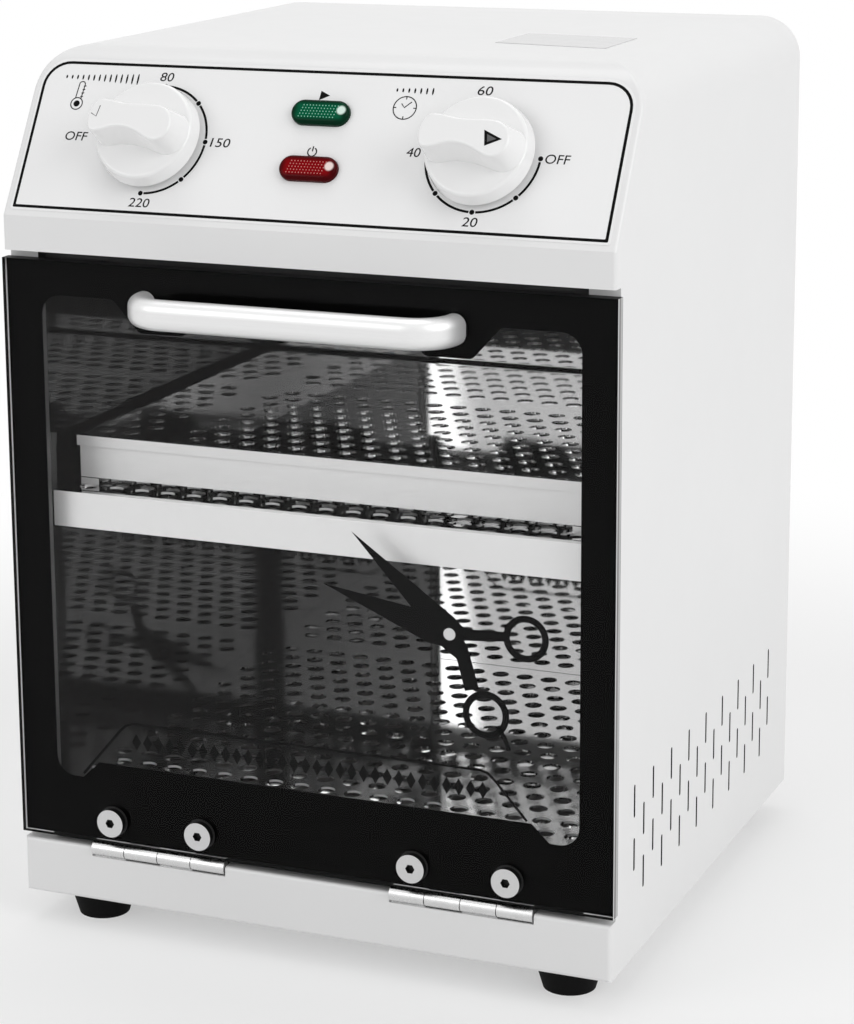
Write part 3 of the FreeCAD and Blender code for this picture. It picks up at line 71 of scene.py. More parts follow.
# %% Matrices from millimetres on a face to metres in the room
MM = 0.001
CASE_FLOOR = 11.5
LEAN = math.radians(31)


def face(origin, right, up, out):
    """A matrix for a face, from its origin in millimetres and its three directions."""
    columns = [Vector(way) * MM for way in (right, up, out)]
    matrix = Matrix.Identity(4)
    for number, column in enumerate(columns + [Vector(origin) * MM]):
        matrix.col[number][:3] = column
    return matrix


PANEL = face((0, -105, CASE_FLOOR + 243.2), (1, 0, 0), (0, math.sin(LEAN), math.cos(LEAN)),
             (0, -math.cos(LEAN), math.sin(LEAN)))
PANE = face((0, -101, CASE_FLOOR), (1, 0, 0), (0, 0, 1), (0, -1, 0))
TOP = face((0, 0, CASE_FLOOR + 297.5), (1, 0, 0), (0, 1, 0), (0, 0, 1))
print("panel middle:", [round(c, 4) for c in PANEL @ Vector((0, 30, 0))])

# %% [markdown]
# ## The camera
# The photograph was taken from the right and a little above, with a long lens. The camera stands
# where the edges of the case say that it stood. The small shift slides the picture inside the
# frame, and is part of the same fit.

# %% The camera at the photograph's place
lens = bpy.data.cameras.new("product_camera")
lens.sensor_width = 36
lens.lens = 103.85
lens.shift_x = 0.0459
lens.shift_y = -0.1094
lens.clip_end = 100
camera = bpy.data.objects.new("product_camera", lens)
camera.location = (0.39950, -0.96386, 0.41158)
camera.rotation_euler = [math.radians(turn) for turn in (77.335, 0.521, 23.208)]
bpy.context.scene.collection.objects.link(camera)
bpy.context.scene.camera = camera
bpy.context.scene.view_settings.view_transform = "Standard"
print("camera distance:", round(camera.location.length, 3), "m")

# %% [markdown]
# ## A short way to write node trees
# A finish is a tree of nodes, and so is a rule that grows a shape. Written call by call such
# trees get long. The class below wraps one output socket, so that plain arithmetic on it adds the
# Math nodes, and one method adds any other node from its type, its settings and its inputs.

# %% Wires and trees
class Wire:
    """One output socket. Arithmetic on it adds Math nodes to its tree."""

    def __init__(self, tree, socket):
        self.tree = tree
        self.socket = socket

    def out(self, name):
        """Another output of the same node."""
        return Wire(self.tree, self.socket.node.outputs[name])

    def maths(self, operation, *inputs):
        return self.tree.node("ShaderNodeMath", {"operation": operation},
                              dict(enumerate(inputs)))

    def __add__(self, other):
        return self.maths("ADD", self, other)

    def __radd__(self, other):
        return self.maths("ADD", other, self)

    def __sub__(self, other):
        return self.maths("SUBTRACT", self, other)

    def __rsub__(self, other):
        return self.maths("SUBTRACT", other, self)

    def __mul__(self, other):
        return self.maths("MULTIPLY", self, other)

    def __rmul__(self, other):
        return self.maths("MULTIPLY", other, self)

    def __truediv__(self, other):
        return self.maths("DIVIDE", self, other)

    def __pow__(self, other):
        return self.maths("POWER", self, other)

    def size(self):
        return self.maths("ABSOLUTE", self)

    def wave(self):
        return self.maths("SINE", self)

    def floor(self):
        return self.maths("FLOOR", self)

    def remainder(self, other):
        return self.maths("FLOORED_MODULO", self, other)

    def least(self, other):
        return self.maths("MINIMUM", self, other)

    def most(self, other):
        return self.maths("MAXIMUM", self, other)

    def fade(self, start, end):
        """0 below start and 1 past end, with a soft step between."""
        return self.tree.node("ShaderNodeMapRange", {"interpolation_type": "SMOOTHSTEP"},
                              {"Value": self, "From Min": start, "From Max": end})


class Tree:
    """A node tree, with one method that adds a node of any type."""

    def __init__(self, nodes):
        self.nodes = nodes

    def node(self, kind, settings=None, inputs=None, out=0):
        made = self.nodes.nodes.new(kind)
        for name, value in (settings or {}).items():
            setattr(made, name, value)
        for name, value in (inputs or {}).items():
            if isinstance(value, Wire):
                self.nodes.links.new(value.socket, made.inputs[name])
            else:
                made.inputs[name].default_value = value
        return Wire(self, made.outputs[out]) if made.outputs else made


print("wires and trees are ready")

# %% [markdown]
# ## A finish for a surface
# Each finish is a material whose patterns read the Object coordinates. All pieces stand at the
# origin, so these are the room's own metres, and a scratch or a grain has its real size.
# `Finish` starts such a tree, with the few helpers that every finish uses: noise of a given grain
# size, a blend of two colours, a bump, and the surface itself.

# %% The Finish helper
class Finish(Tree):
    """A material that is being built."""

    def __init__(self, name):
        self.material = bpy.data.materials.new(name)
        self.material.use_nodes = True
        super().__init__(self.material.node_tree)
        self.nodes.nodes.clear()
        self.place = self.node("ShaderNodeTexCoord", out="Object")

    def axes(self):
        """The X, Y and Z of the place, in metres."""
        split = self.node("ShaderNodeSeparateXYZ", inputs={0: self.place})
        return split, split.out("Y"), split.out("Z")

    def looks(self, axis):
        """How squarely a face looks along an axis, from 0 to 1."""
        way = self.node("ShaderNodeNewGeometry", out="True Normal")
        return self.node("ShaderNodeSeparateXYZ", inputs={0: way}).out(axis).size()

    def stretched(self, scale):
        """The place, with each axis scaled, for streaks and brush lines."""
        return self.node("ShaderNodeVectorMath", {"operation": "MULTIPLY"},
                         {0: self.place, 1: scale})

    def noise(self, grain, detail=2, place=None):
        """Noise from 0 to 1 whose blobs are about the grain wide, in millimetres."""
        return self.node("ShaderNodeTexNoise", inputs={
            "Vector": place or self.place, "Scale": 1000 / grain, "Detail": detail})

    def blend(self, factor, first, second):
        return self.node("ShaderNodeMix", {"data_type": "RGBA"},
                         {0: factor, 6: self.colour(first), 7: self.colour(second)}, out=2)

    def bump(self, height, depth, strength=1.0):
        """A bump whose full height is the depth, in millimetres."""
        return self.node("ShaderNodeBump", inputs={
            "Height": height, "Distance": depth * MM, "Strength": strength})

    @staticmethod
    def colour(value):
        return (*value, 1) if isinstance(value, tuple) else value

    def surface(self, **inputs):
        """The main shader, with its inputs named in lower case and underscores."""
        named = {name.replace("_", " ").title().replace("Ior", "IOR"): self.colour(value)
                 for name, value in inputs.items()}
        return self.node("ShaderNodeBsdfPrincipled", inputs=named)

    def done(self, shader):
        self.node("ShaderNodeOutputMaterial", inputs={"Surface": shader})
        print("finish:", self.material.name, "-", len(self.nodes.nodes), "nodes")
        return self.material


# %% [markdown]
# ## White enamel
# The case is sheet steel with a baked white powder coat. Up close such a coat has a faint orange
# peel, about a millimetre from crest to crest, and it is a touch uneven in tone. Both come from
# noise: the fine one bumps the surface and the broad one tints it by a percent or two.
#
# The cooling slots show black in the photo, so their narrow cut edges get a dark painted shade.
# They are found by their place: just under the wall's face, low on the case, on faces that don't
# look sideways. The folded lips beside the door's opening hardly show in the photo either, so they
# get a dark painted shade too. Both are fitted to the picture. The real paint there isn't known.

# %% Enamel
WALL_FACE = 109.5
SLOT_BAND = (CASE_FLOOR + 17.0, CASE_FLOOR + 62.0)
SLOT_MIDDLE, SLOT_REACH = sum(SLOT_BAND) / 2, 22.5
LIP_MIDDLE = 99.6
LIP_BACK = -95.5
enamel = Finish("white_enamel")
cloud = enamel.noise(60)
peel = enamel.noise(1.1, detail=1)
across, depth, level = enamel.axes()
in_wall = (across.size() - (WALL_FACE - 0.5) * MM).size().fade(0.58 * MM, 0.46 * MM)
in_band = (level - SLOT_MIDDLE * MM).size().fade((SLOT_REACH + 0.1) * MM, (SLOT_REACH - 0.1) * MM)
# Painted shade inside the cooling slots.
slot_shade = in_wall * in_band * enamel.looks("X").fade(0.6, 0.5) * depth.fade(-0.088, -0.086)
# Painted shade on the folded lips beside the door's opening.
jamb_lip_shade = (across.size() - LIP_MIDDLE * MM).size().fade(1.2 * MM, 1.0 * MM)
in_front = depth.fade((LIP_BACK + 0.5) * MM, LIP_BACK * MM)
jamb_lip_shade = jamb_lip_shade * in_front * enamel.looks("X").fade(0.5, 0.6)
paint = enamel.blend(jamb_lip_shade, enamel.blend(cloud, (0.80, 0.80, 0.802), (0.83, 0.83, 0.83)),
                     (0.06, 0.06, 0.06))
white_enamel = enamel.done(enamel.surface(
    base_color=enamel.blend(slot_shade, paint, (0.012, 0.012, 0.012)),
    roughness=0.27 + 0.12 * enamel.noise(9),
    normal=enamel.bump(peel, 0.012, 0.5),
    coat_weight=0.15))

# %% [markdown]
# ## Bright steel of the chamber
# The chamber's walls are thin polished sheet, so they mirror each other and the punched floor.
# The sheet keeps long, faint rolling lines, which are noise squeezed hard along one axis. The front
# lips of shelf and tray are duller and paler in the photo, so the finish is blended by how squarely
# a face looks to the front: the lips are rougher and less metallic, and their paler tone is a
# painted highlight. The chamber's own front flanges get a dark tone from the same blend, which is
# painted shade.
#
# In the photo the left of the chamber is dark. Polished steel shows what stands round it, and this
# studio is white all round, so a darker tone that starts at left_start, on the walls, the punched
# sheet and the tray, is a painted reflection: it stands in for what the real steel mirrored. It is
# fitted to the picture: the real sheet is most likely even.

# %% Polished and brushed steel
def steel_sheet(name, tone, rough, squeeze, lip_tone, lip_rough, left_tone, left_start):
    sheet = Finish(name)
    lines = sheet.noise(1, detail=3, place=sheet.stretched(squeeze))
    smudge = sheet.noise(35, detail=3)
    across, depth, _ = sheet.axes()
    # Painted light on the front lips: a painted highlight on shelf and tray, painted shade on the
    # chamber's flanges.
    lip = sheet.looks("Y").fade(0.5, 0.7) * depth.fade(-0.060, -0.070)
    grey = lines * 0.3 + smudge * 0.7
    even_tone = sheet.blend(grey, (tone * 0.90,) * 3, (tone,) * 3)
    # Painted reflection: the left part of the sheet is darker.
    painted_dark_reflection = sheet.blend(grey, (left_tone * 0.80,) * 3, (left_tone,) * 3)
    plain = sheet.blend(across.fade(left_start, -0.095), even_tone, painted_dark_reflection)
    front = sheet.blend(grey, (lip_tone * 0.95,) * 3, (lip_tone,) * 3)
    return sheet.done(sheet.surface(
        base_color=sheet.blend(lip, plain, front),
        metallic=1.0 - 0.6 * lip,
        roughness=rough + 0.03 * smudge + 0.01 * lines + lip * lip_rough,
        normal=sheet.bump(lines, 0.0004, 0.2)))


ALONG_X = (0.05, 2.0, 2.0)
UPRIGHT = (0.04, 0.04, 1.5)
wall_steel = steel_sheet("polished_steel", tone=0.66, rough=0.01, squeeze=UPRIGHT,
                         lip_tone=0.20, lip_rough=0.10, left_tone=0.06, left_start=-0.090)
sheet_steel = steel_sheet("punched_sheet", tone=0.74, rough=0.03, squeeze=ALONG_X,
                          lip_tone=0.80, lip_rough=0.35, left_tone=0.50, left_start=-0.030)
tray_steel = steel_sheet("tray_steel", tone=0.66, rough=0.03, squeeze=ALONG_X,
                         lip_tone=0.73, lip_rough=0.35, left_tone=0.42, left_start=-0.030)

# %% [markdown]
# ## The door's glass
# The door is one plate of glass. Light must reach the chamber through it, so shadow rays pass
# through a transparent shader. The cut edges are ground.
# On the right, where it is seen from the side, such an edge is given grey bands across its
# thickness: pale at the front, dark in the middle, mid grey at the back. The other edges are seen
# through the front of the plate, in front of black print, and get painted shade, with one thin
# painted highlight near their back. Along the bottom that highlight shows only at the corners and
# above the two hinges. The highlight is fitted to the photo.

# %% Glass with ground edges
GLASS_FRONT = -105.0
GLASS_THICK = 4.0
HINGE_MIDDLE, HINGE_REACH = 56.7, 25.0
CORNER_START = 99.0
GLASS_FOOT = CASE_FLOOR + 23.0
pane = Finish("door_glass_plate")
shadow_ray = pane.node("ShaderNodeLightPath", out="Is Shadow Ray")
clear = pane.surface(base_color=(0.95, 0.95, 0.95), roughness=0.0, ior=1.18,
                     specular_ior_level=0.35, transmission_weight=1.0)
through = pane.node("ShaderNodeBsdfTransparent", inputs={"Color": (0.95, 0.95, 0.95, 1)})
body = pane.node("ShaderNodeMixShader", inputs={0: shadow_ray, 1: clear, 2: through})
across, depth, level = pane.axes()
inward = (depth - GLASS_FRONT * MM) / (GLASS_THICK * MM)
# A painted highlight: one thin bright line near the back of the ground edge.
line = inward.fade(0.60, 0.68) * inward.fade(0.95, 0.88)
from_hinge = (across.size() - HINGE_MIDDLE * MM).size()
over_hinge = from_hinge.fade((HINGE_REACH + 0.6) * MM, HINGE_REACH * MM)
shown = over_hinge.most(across.size().fade(CORNER_START * MM, (CORNER_START + 0.6) * MM))
upright = pane.looks("X").fade(0.5, 0.6)
foot_edge = level.fade((GLASS_FOOT + 1.0) * MM, GLASS_FOOT * MM) * shown
left_or_foot = (upright * across.fade(-0.05, -0.06)).most(foot_edge * (1 - upright))
right_edge = upright * across.fade(0.05, 0.06)
# Painted shade on the edges seen through the front, with the painted highlight line.
edge_shade_and_glint = pane.blend(line * left_or_foot, (0.008, 0.008, 0.008), (0.85, 0.85, 0.85))
edge_side = pane.blend(inward.fade(0.10, 0.32), (0.80, 0.80, 0.80),
                       pane.blend(inward.fade(0.32, 1.0), (0.16, 0.16, 0.16), (0.60, 0.60, 0.60)))
ground = pane.surface(base_color=pane.blend(right_edge, edge_shade_and_glint, edge_side),
                      roughness=0.4 + 0.1 * pane.noise(0.5), specular_ior_level=0.1)
door_glass_plate = pane.done(pane.node("ShaderNodeMixShader", inputs={
    0: pane.looks("Y").fade(0.55, 0.45), 1: body, 2: ground}))

# %% [markdown]
# ## Black print, rubber and plastics
# The black border of the door is taken to be printed on the back of the glass. Ink, rubber and
# plastics differ mostly in how rough they are and how coarse their grain is, so one function
# makes them all from those few numbers.

# %% Inks, rubber and plastics
def moulded(name, dark, light, grain, rough, depth, coat=0.0, level=0.5):
    plastic = Finish(name)
    fleck = plastic.noise(grain, detail=3)
    return plastic.done(plastic.surface(
        base_color=plastic.blend(fleck, dark, light),
        roughness=rough + 0.08 * fleck,
        specular_ior_level=level,
        coat_weight=coat,
        coat_roughness=0.08,
        normal=plastic.bump(fleck, depth, 0.5)))


black_ink = moulded("black_ink", (0.003, 0.003, 0.003), (0.0045, 0.0045, 0.0045), 6.0, 0.6,
                    0.0005, level=0.05)
panel_ink = moulded("panel_ink", (0.004, 0.004, 0.004), (0.007, 0.007, 0.007), 0.3, 0.6, 0.002,
                    level=0.04)
foot_rubber = moulded("foot_rubber", (0.003, 0.003, 0.003), (0.007, 0.007, 0.007), 0.6, 0.7,
                      0.05, level=0.10)
knob_plastic = moulded("knob_plastic", (0.875, 0.875, 0.875), (0.885, 0.885, 0.885), 9.0, 0.16,
                       0.0003, coat=0.5)
black_plastic = moulded("black_plastic", (0.012, 0.012, 0.012), (0.025, 0.025, 0.025), 0.5, 0.42,
                        0.02)
ceramic = moulded("white_ceramic", (0.70, 0.69, 0.66), (0.80, 0.79, 0.76), 0.8, 0.4, 0.01)
magnet_grey = moulded("magnet_grey", (0.05, 0.05, 0.055), (0.09, 0.09, 0.095), 0.4, 0.6, 0.02)
wire_cover = moulded("wire_cover", (0.06, 0.06, 0.065), (0.10, 0.10, 0.10), 1.5, 0.45, 0.03)

# %% [markdown]
# ## Metals that shine
# The handle is satin metal, brushed along its length. It looks half matt in the photo, so it is
# only partly metallic here. The hinges are chrome, the screws are zinc with fine rings from the
# lathe, and the terminals are brass. Brush lines are again squeezed noise; the lathe rings are a
# sine wave on the distance from the nearest screw's axis. Nearer than 1.7 mm to that axis lies the
# hexagon socket, whose inside gets a near-black painted shade. The rims of the heads look dark in
# the photo, and get the same painted shade here.

# %% Satin, chrome, zinc, brass and the heater's sheath
def plain_metal(name, tone, rough, grain, depth):
    metal = Finish(name)
    fleck = metal.noise(grain, detail=3)
    dark = tuple(part * 0.88 for part in tone)
    return metal.done(metal.surface(
        base_color=metal.blend(fleck, dark, tone), metallic=1.0,
        roughness=rough + 0.10 * fleck, normal=metal.bump(fleck, depth, 0.5)))


chrome = plain_metal("chrome", (0.74, 0.74, 0.74), 0.22, 3.0, 0.003)
brass = plain_metal("brass", (0.72, 0.55, 0.28), 0.25, 1.5, 0.01)
heater_sheath = plain_metal("heater_sheath", (0.16, 0.15, 0.15), 0.42, 1.2, 0.02)

satin = Finish("satin_metal")
brush = satin.noise(1, detail=3, place=satin.stretched((0.05, 2.5, 2.5)))
satin_metal = satin.done(satin.surface(
    base_color=satin.blend(brush, (0.80, 0.80, 0.80), (0.86, 0.86, 0.86)),
    metallic=0.55, roughness=0.30 + 0.12 * brush, normal=satin.bump(brush, 0.004, 0.5)))

HINGE_SCREWS = (39.7, 73.7)
HEAD_FACE, HEAD_BACK = -108.0, -105.0
SCREW_LEVEL = CASE_FLOOR + 30.7
zinc = Finish("zinc_plate")
across, depth, level = zinc.axes()
left_to_right = across.size()
nearest = (left_to_right - HINGE_SCREWS[0] * MM).size().least(
    (left_to_right - HINGE_SCREWS[1] * MM).size())
reach = (nearest ** 2 + (level - SCREW_LEVEL * MM) ** 2) ** 0.5
rings = (reach * (2 * math.pi / (0.35 * MM))).wave() * 0.5 + 0.5
fleck = zinc.noise(0.8)
# Painted shade: near black inside the hexagon socket.
socket_shade = reach.fade(1.70 * MM, 1.60 * MM) * depth.fade(HEAD_FACE * MM, (HEAD_FACE + 0.1) * MM)
socket_shade = socket_shade * depth.fade((HEAD_BACK - 0.5) * MM, (HEAD_BACK - 1.0) * MM)
before_glass = depth.fade(HEAD_BACK * MM, (HEAD_BACK - 0.2) * MM)
# Painted shade on the rims of the heads.
head_rim_shade = zinc.looks("Y").fade(0.5, 0.3) * before_glass
socket_shade = socket_shade.most(head_rim_shade)
zinc_plate = zinc.done(zinc.surface(
    base_color=zinc.blend(socket_shade, zinc.blend(fleck, (0.60, 0.60, 0.60), (0.68, 0.68, 0.68)),
                          (0.01, 0.01, 0.01)),
    metallic=0.7, roughness=0.34 + 0.12 * fleck, normal=zinc.bump(rings, 0.003, 0.5)))

# %% [markdown]
# ## Lamp lenses
# The two lamps have coloured plastic caps. The plastic is deep in colour at the rim and lighter
# over the lamp behind it. A faint painted glow in that lighter colour stands for the light that
# such a cap gathers. Near the right end the photo shows one bright spot, and a painted highlight, a
# paler round patch that glows a little, stands in for it.

# %% Green and red lens plastic
GREEN_UP, RED_UP = 42.0, 22.1


def lens_plastic(name, rim, heart, highlight_tint, up):
    cap = Finish(name)
    across, depth, level = cap.axes()
    foot = PANEL @ Vector((0, up, 0))
    climb = (depth - foot.y) * math.sin(LEAN) + (level - foot.z) * math.cos(LEAN)
    inside = climb.size().fade(0.0036, 0.0016) * across.size().fade(0.0095, 0.0070)
    # A painted highlight near the right end: a paler patch that also glows.
    spot_reach = ((across - 0.0078) ** 2 + (climb - 0.0006) ** 2) ** 0.5
    spot = spot_reach.fade(0.0019, 0.0011)
    fleck = cap.noise(0.9)
    tint = cap.blend(inside * (0.55 + 0.45 * fleck), rim, heart)
    # A faint painted glow, in the cap's lighter colour and stronger at the painted highlight.
    return cap.done(cap.surface(
        base_color=cap.blend(spot * 0.85, tint, highlight_tint), roughness=0.12 + 0.06 * fleck,
        emission_color=cap.blend(spot, cap.blend(inside, (0, 0, 0), heart), highlight_tint),
        emission_strength=0.04, specular_ior_level=0.05))


green_lens = lens_plastic("green_lens", (0.000, 0.022, 0.009), (0.000, 0.110, 0.048),
                          (0.80, 0.96, 0.88), GREEN_UP)
red_lens = lens_plastic("red_lens", (0.060, 0.000, 0.001), (0.25, 0.001, 0.003),
                        (0.98, 0.82, 0.78), RED_UP)
# The facets' pale finishes are painted highlights, standing for the light that the moulded facets
# catch.
green_spark = moulded("green_spark", (0.16, 0.55, 0.38), (0.40, 0.80, 0.62), 0.5, 0.2, 0.002)
red_spark = moulded("red_spark", (0.50, 0.08, 0.07), (0.85, 0.34, 0.30), 0.5, 0.2, 0.002)

# %% [markdown]
# ## Foil and glass wool
# The panel's front is a plastic foil with a sandy grain that shows where the light grazes it, and
# the label on top is a greyer one. Behind the chamber lies yellowish glass wool: fibres are noise
# stretched two ways, one over the other.

# %% Foil and wool
foil = Finish("panel_foil")
sand = foil.noise(0.35, detail=2)
panel_foil = foil.done(foil.surface(
    base_color=foil.blend(sand, (0.865, 0.865, 0.868), (0.895, 0.895, 0.895)),
    roughness=0.45 + 0.12 * sand, normal=foil.bump(sand, 0.006, 0.4)))

clear_foil = Finish("label_foil")
haze = clear_foil.noise(4.0)
label_foil = clear_foil.done(clear_foil.surface(
    base_color=clear_foil.blend(haze, (0.62, 0.62, 0.62), (0.66, 0.66, 0.665)),
    roughness=0.18 + 0.08 * haze))

wool = Finish("glass_wool")
strands = wool.noise(1, detail=4, place=wool.stretched((0.3, 2.0, 0.3)))
crossing = wool.noise(1, detail=4, place=wool.stretched((1.6, 0.3, 0.4)))
fibre = strands * 0.5 + crossing * 0.5
glass_wool = wool.done(wool.surface(
    base_color=wool.blend(fibre, (0.52, 0.44, 0.22), (0.80, 0.74, 0.52)),
    roughness=0.95, normal=wool.bump(fibre, 0.6, 0.8)))

# %% [markdown]
# ## Which node wears what
# A node of the frame keeps its shape and gets a finish by assigning to its material slots. The
# record says which slot each node has; here the finish of a slot is set once, and a few nodes
# that are made of the same stuff but worked differently are then named one by one.

# %% Finishes on the nodes of the frame
BY_SLOT = {
    "white_paint": white_enamel, "stainless": sheet_steel, "glass": door_glass_plate,
    "black_print": black_ink, "satin_metal": satin_metal, "chrome": chrome, "zinc": zinc_plate,
    "black_rubber": foot_rubber, "white_plastic": knob_plastic, "green_lens": green_lens,
    "red_lens": red_lens, "black_plastic": black_plastic, "wool": glass_wool,
    "heater_sheath": heater_sheath, "ceramic": ceramic, "brass": brass, "magnet": magnet_grey,
    "wire_cover": wire_cover}
BY_NODE = {"cavity_liner": wall_steel, "tray_rim": tray_steel, "tray_runners": tray_steel,
           "hinge_screws": zinc_plate, "hinge_screw_washers": black_plastic}
slot_of = {entry["node"]: entry["material_slot"] for entry in frame["record"]["subparts"]}
for name, thing in frame["nodes"].items():
    for slot in thing.material_slots:
        slot.material = BY_NODE.get(name, BY_SLOT[slot_of[name]])
print("nodes dressed:", len(frame["nodes"]), "with", len(set(BY_SLOT.values())), "finishes")

# %% [markdown]
# ## Flat print
# Outlines, figures and labels are thin plates. A 2D curve does this well: Blender fills the space
# between its rings, so a ring inside a ring becomes a hole, and an extrusion gives it a
# thickness. The curve is made a mesh while it still lies flat, in millimetres, and the mesh is
# then carried to its face. The small functions below give the rings.

# %% Rings and plates
def arc(x, y, radius, start, end, steps=12):
    """Points on an arc, from one angle to another in degrees."""
    turns = [math.radians(start + (end - start) * step / steps) for step in range(steps + 1)]
    return [(x + radius * math.cos(turn), y + radius * math.sin(turn)) for turn in turns]


def circle(x, y, radius, steps=32):
    return arc(x, y, radius, 0, 360, steps)[:-1]


def round_box(left, low, right, high, lower, upper):
    """A rectangle with one radius at its lower corners and one at its upper corners."""
    return (arc(left + lower, low + lower, lower, 180, 270, 8)
            + arc(right - lower, low + lower, lower, 270, 360, 8)
            + arc(right - upper, high - upper, upper, 0, 90, 8)
            + arc(left + upper, high - upper, upper, 90, 180, 8))


def pill(x, y, wide, tall):
    return round_box(x - wide / 2, y - tall / 2, x + wide / 2, y + tall / 2, tall / 2, tall / 2)


def band(points, width):
    """A ring round an open line, half the width to each side, with square ends."""
    sides = ([], [])
    for number, (x, y) in enumerate(points):
        before = points[max(number - 1, 0)]
        after = points[min(number + 1, len(points) - 1)]
        slope = Vector((after[0] - before[0], after[1] - before[1])).normalized()
        for side, way in zip(sides, (1, -1)):
            side.append((x - way * slope.y * width / 2, y + way * slope.x * width / 2))
    return sides[0] + sides[1][::-1]


def settle(name, mesh, finish, body):
    """Make a mesh that is already in its place an object that rides on a body."""
    mesh.name = name
    mesh.materials.clear()
    mesh.materials.append(finish)
    piece = bpy.data.objects.new(name, mesh)
    bpy.context.scene.collection.objects.link(piece)
    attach(piece, body)
    print("piece:", name, "-", len(mesh.polygons), "faces on", body)


def flat_mesh(data, low, high):
    """The mesh of a 2D curve or text that spans a low and a high level."""
    data.dimensions = "2D"
    data.fill_mode = "BOTH"
    data.extrude = (high - low) / 2
    shape = bpy.data.objects.new("flat", data)
    bpy.context.scene.collection.objects.link(shape)
    bpy.context.view_layer.update()
    mesh = bpy.data.meshes.new_from_object(
        shape.evaluated_get(bpy.context.evaluated_depsgraph_get()))
    bpy.data.objects.remove(shape)
    mesh.transform(Matrix.Translation((0, 0, (low + high) / 2)))
    return mesh


def plate(name, rings, low, high, where, finish, body="case", slot="black_print"):
    """A flat plate from rings in millimetres on a face."""
    outline = bpy.data.curves.new(name, "CURVE")
    for ring in rings:
        spline = outline.splines.new("POLY")
        spline.points.add(len(ring) - 1)
        for point, (x, y) in zip(spline.points, ring):
            point.co = (x, y, 0, 1)
        spline.use_cyclic_u = True
    mesh = flat_mesh(outline, low, high)
    mesh.transform(where)
    settle(name, mesh, finish, body)


print("rings and plates are ready")

# %% [markdown]
# ## The panel's foil and its outline
# The foil is a plate with two round upper corners. It has holes for the lamps and round holes
# that the knobs hide. A black line, one millimetre wide, runs round just inside its edge.

# %% Foil and outline
KNOBS = {"temperature": -59.3, "timer": 59.3}
KNOB_UP = 30.0
FOIL = 0.2
openings = [circle(x, KNOB_UP, 15.0) for x in KNOBS.values()]
openings += [pill(0, up, 20.9, 8.9) for up in (GREEN_UP, RED_UP)]
plate("panel_foil", [round_box(-107.0, 2.2, 107.0, 58.4, 0.8, 10.0)] + openings,
      0.0, FOIL, PANEL, panel_foil, slot="white_paint")
plate("panel_outline", [round_box(-106.2, 3.0, 106.2, 57.4, 0.4, 9.4),
                        round_box(-105.2, 4.0, 105.2, 56.4, 0.3, 8.4)],
      FOIL, FOIL + 0.05, PANEL, panel_ink)

# %% [markdown]
# ## Numbers on the dials
# The scales have plain numbers and an OFF mark. A text object is turned into a mesh, measured,
# and scaled to the width and height that its figures have in the photo. They lean a little,
# which is the font's shear.

# %% Numbers
def figures(name, words, x, up, wide, tall):
    text = bpy.data.curves.new(name, "FONT")
    text.body = words
    text.shear = 0.10
    text.resolution_u = 4
    mesh = flat_mesh(text, 0.0, 0.05)
    corners = [Vector(vertex.co) for vertex in mesh.vertices]
    low = Vector([min(corner[axis] for corner in corners) for axis in range(3)])
    high = Vector([max(corner[axis] for corner in corners) for axis in range(3)])
    middle = (low + high) / 2
    grow = (wide / (high.x - low.x), tall / (high.y - low.y), 1, 1)
    mesh.transform(Matrix.Translation((x, up, FOIL)) @ Matrix.Diagonal(grow)
                   @ Matrix.Translation((-middle.x, -middle.y, 0)))
    mesh.transform(PANEL)
    settle(name, mesh, panel_ink, "case")


for name, words, x, up, wide in (
        ("mark_80", "80", -59.4, 52.9, 5.0), ("mark_150", "150", -34.2, 30.0, 7.2),
        ("mark_220", "220", -59.0, 7.1, 7.7), ("mark_off_left", "OFF", -88.4, 29.9, 8.4),
        ("mark_60", "60", 55.6, 52.6, 5.2), ("mark_40", "40", 35.2, 30.0, 4.8),
        ("mark_20", "20", 59.2, 7.1, 5.2), ("mark_off_right", "OFF", 84.6, 30.0, 8.4)):
    figures(name, words, x, up, wide, 3.2)

# %% [markdown]
# ## Small signs
# Beside the numbers stand a thermometer, a clock face, a rising row of strokes over each knob
# and one plain sign over each lamp. All are rings and bands. A closed line, such as a clock's
# rim, is a ring inside a ring.

# %% Thermometer, clock and lamp signs
INK = (FOIL, FOIL + 0.05)


def sign(name, rings):
    plate(name, rings, *INK, PANEL, panel_ink)


stem = arc(-90.9, 48.9, 1.1, -10, 190, 10)
neck = [(-92.3, 43.8), *reversed(stem), (-90.2, 43.8)]
sign("thermometer_stem", [band(neck, 0.34)])
sign("thermometer_ticks", [band([(-90.6 + step * 0.1, 44.4 + step),
                                 (-89.6 + step * 0.1, 44.5 + step)], 0.32)
                           for step in (0.0, 1.3, 2.6, 3.9)])
sign("thermometer_bulb", [circle(-91.4, 41.8, 2.35), circle(-91.4, 41.8, 2.0)])
sign("thermometer_drop", [circle(-91.4, 41.8, 1.15)])

sign("clock_rim", [circle(28.9, 45.4, 4.2), circle(28.9, 45.4, 3.85)])
sign("clock_hands", [band([(27.5, 46.9), (28.7, 45.5), (31.0, 47.6)], 0.34)])
sign("clock_hours", [band([(28.9 + near * math.cos(turn), 45.4 + near * math.sin(turn))
                           for near in (3.0, 3.9)], 0.32)
                     for turn in (0, math.pi / 2, math.pi, 3 * math.pi / 2)])

sign("run_sign", [[(-2.0, 46.9), (1.6, 48.6), (-1.8, 50.2)]])
sign("power_sign", [band(arc(-0.4, 28.4, 1.55, 120, 420, 20), 0.42)])
sign("power_sign_stroke", [band([(-0.35, 28.6), (-0.25, 30.4)], 0.42)])

# %% [markdown]
# ## Shapes that grow by a rule
# A dial's scale is the same stroke and dot again and again, turned by an equal step. That is a
# rule, so Geometry Nodes make it: one stroke and one dot are instanced on points, and each is
# turned by its number times the step. `grown` gives such a tree its sizes, lets it build, and
# keeps the result as a plain mesh.

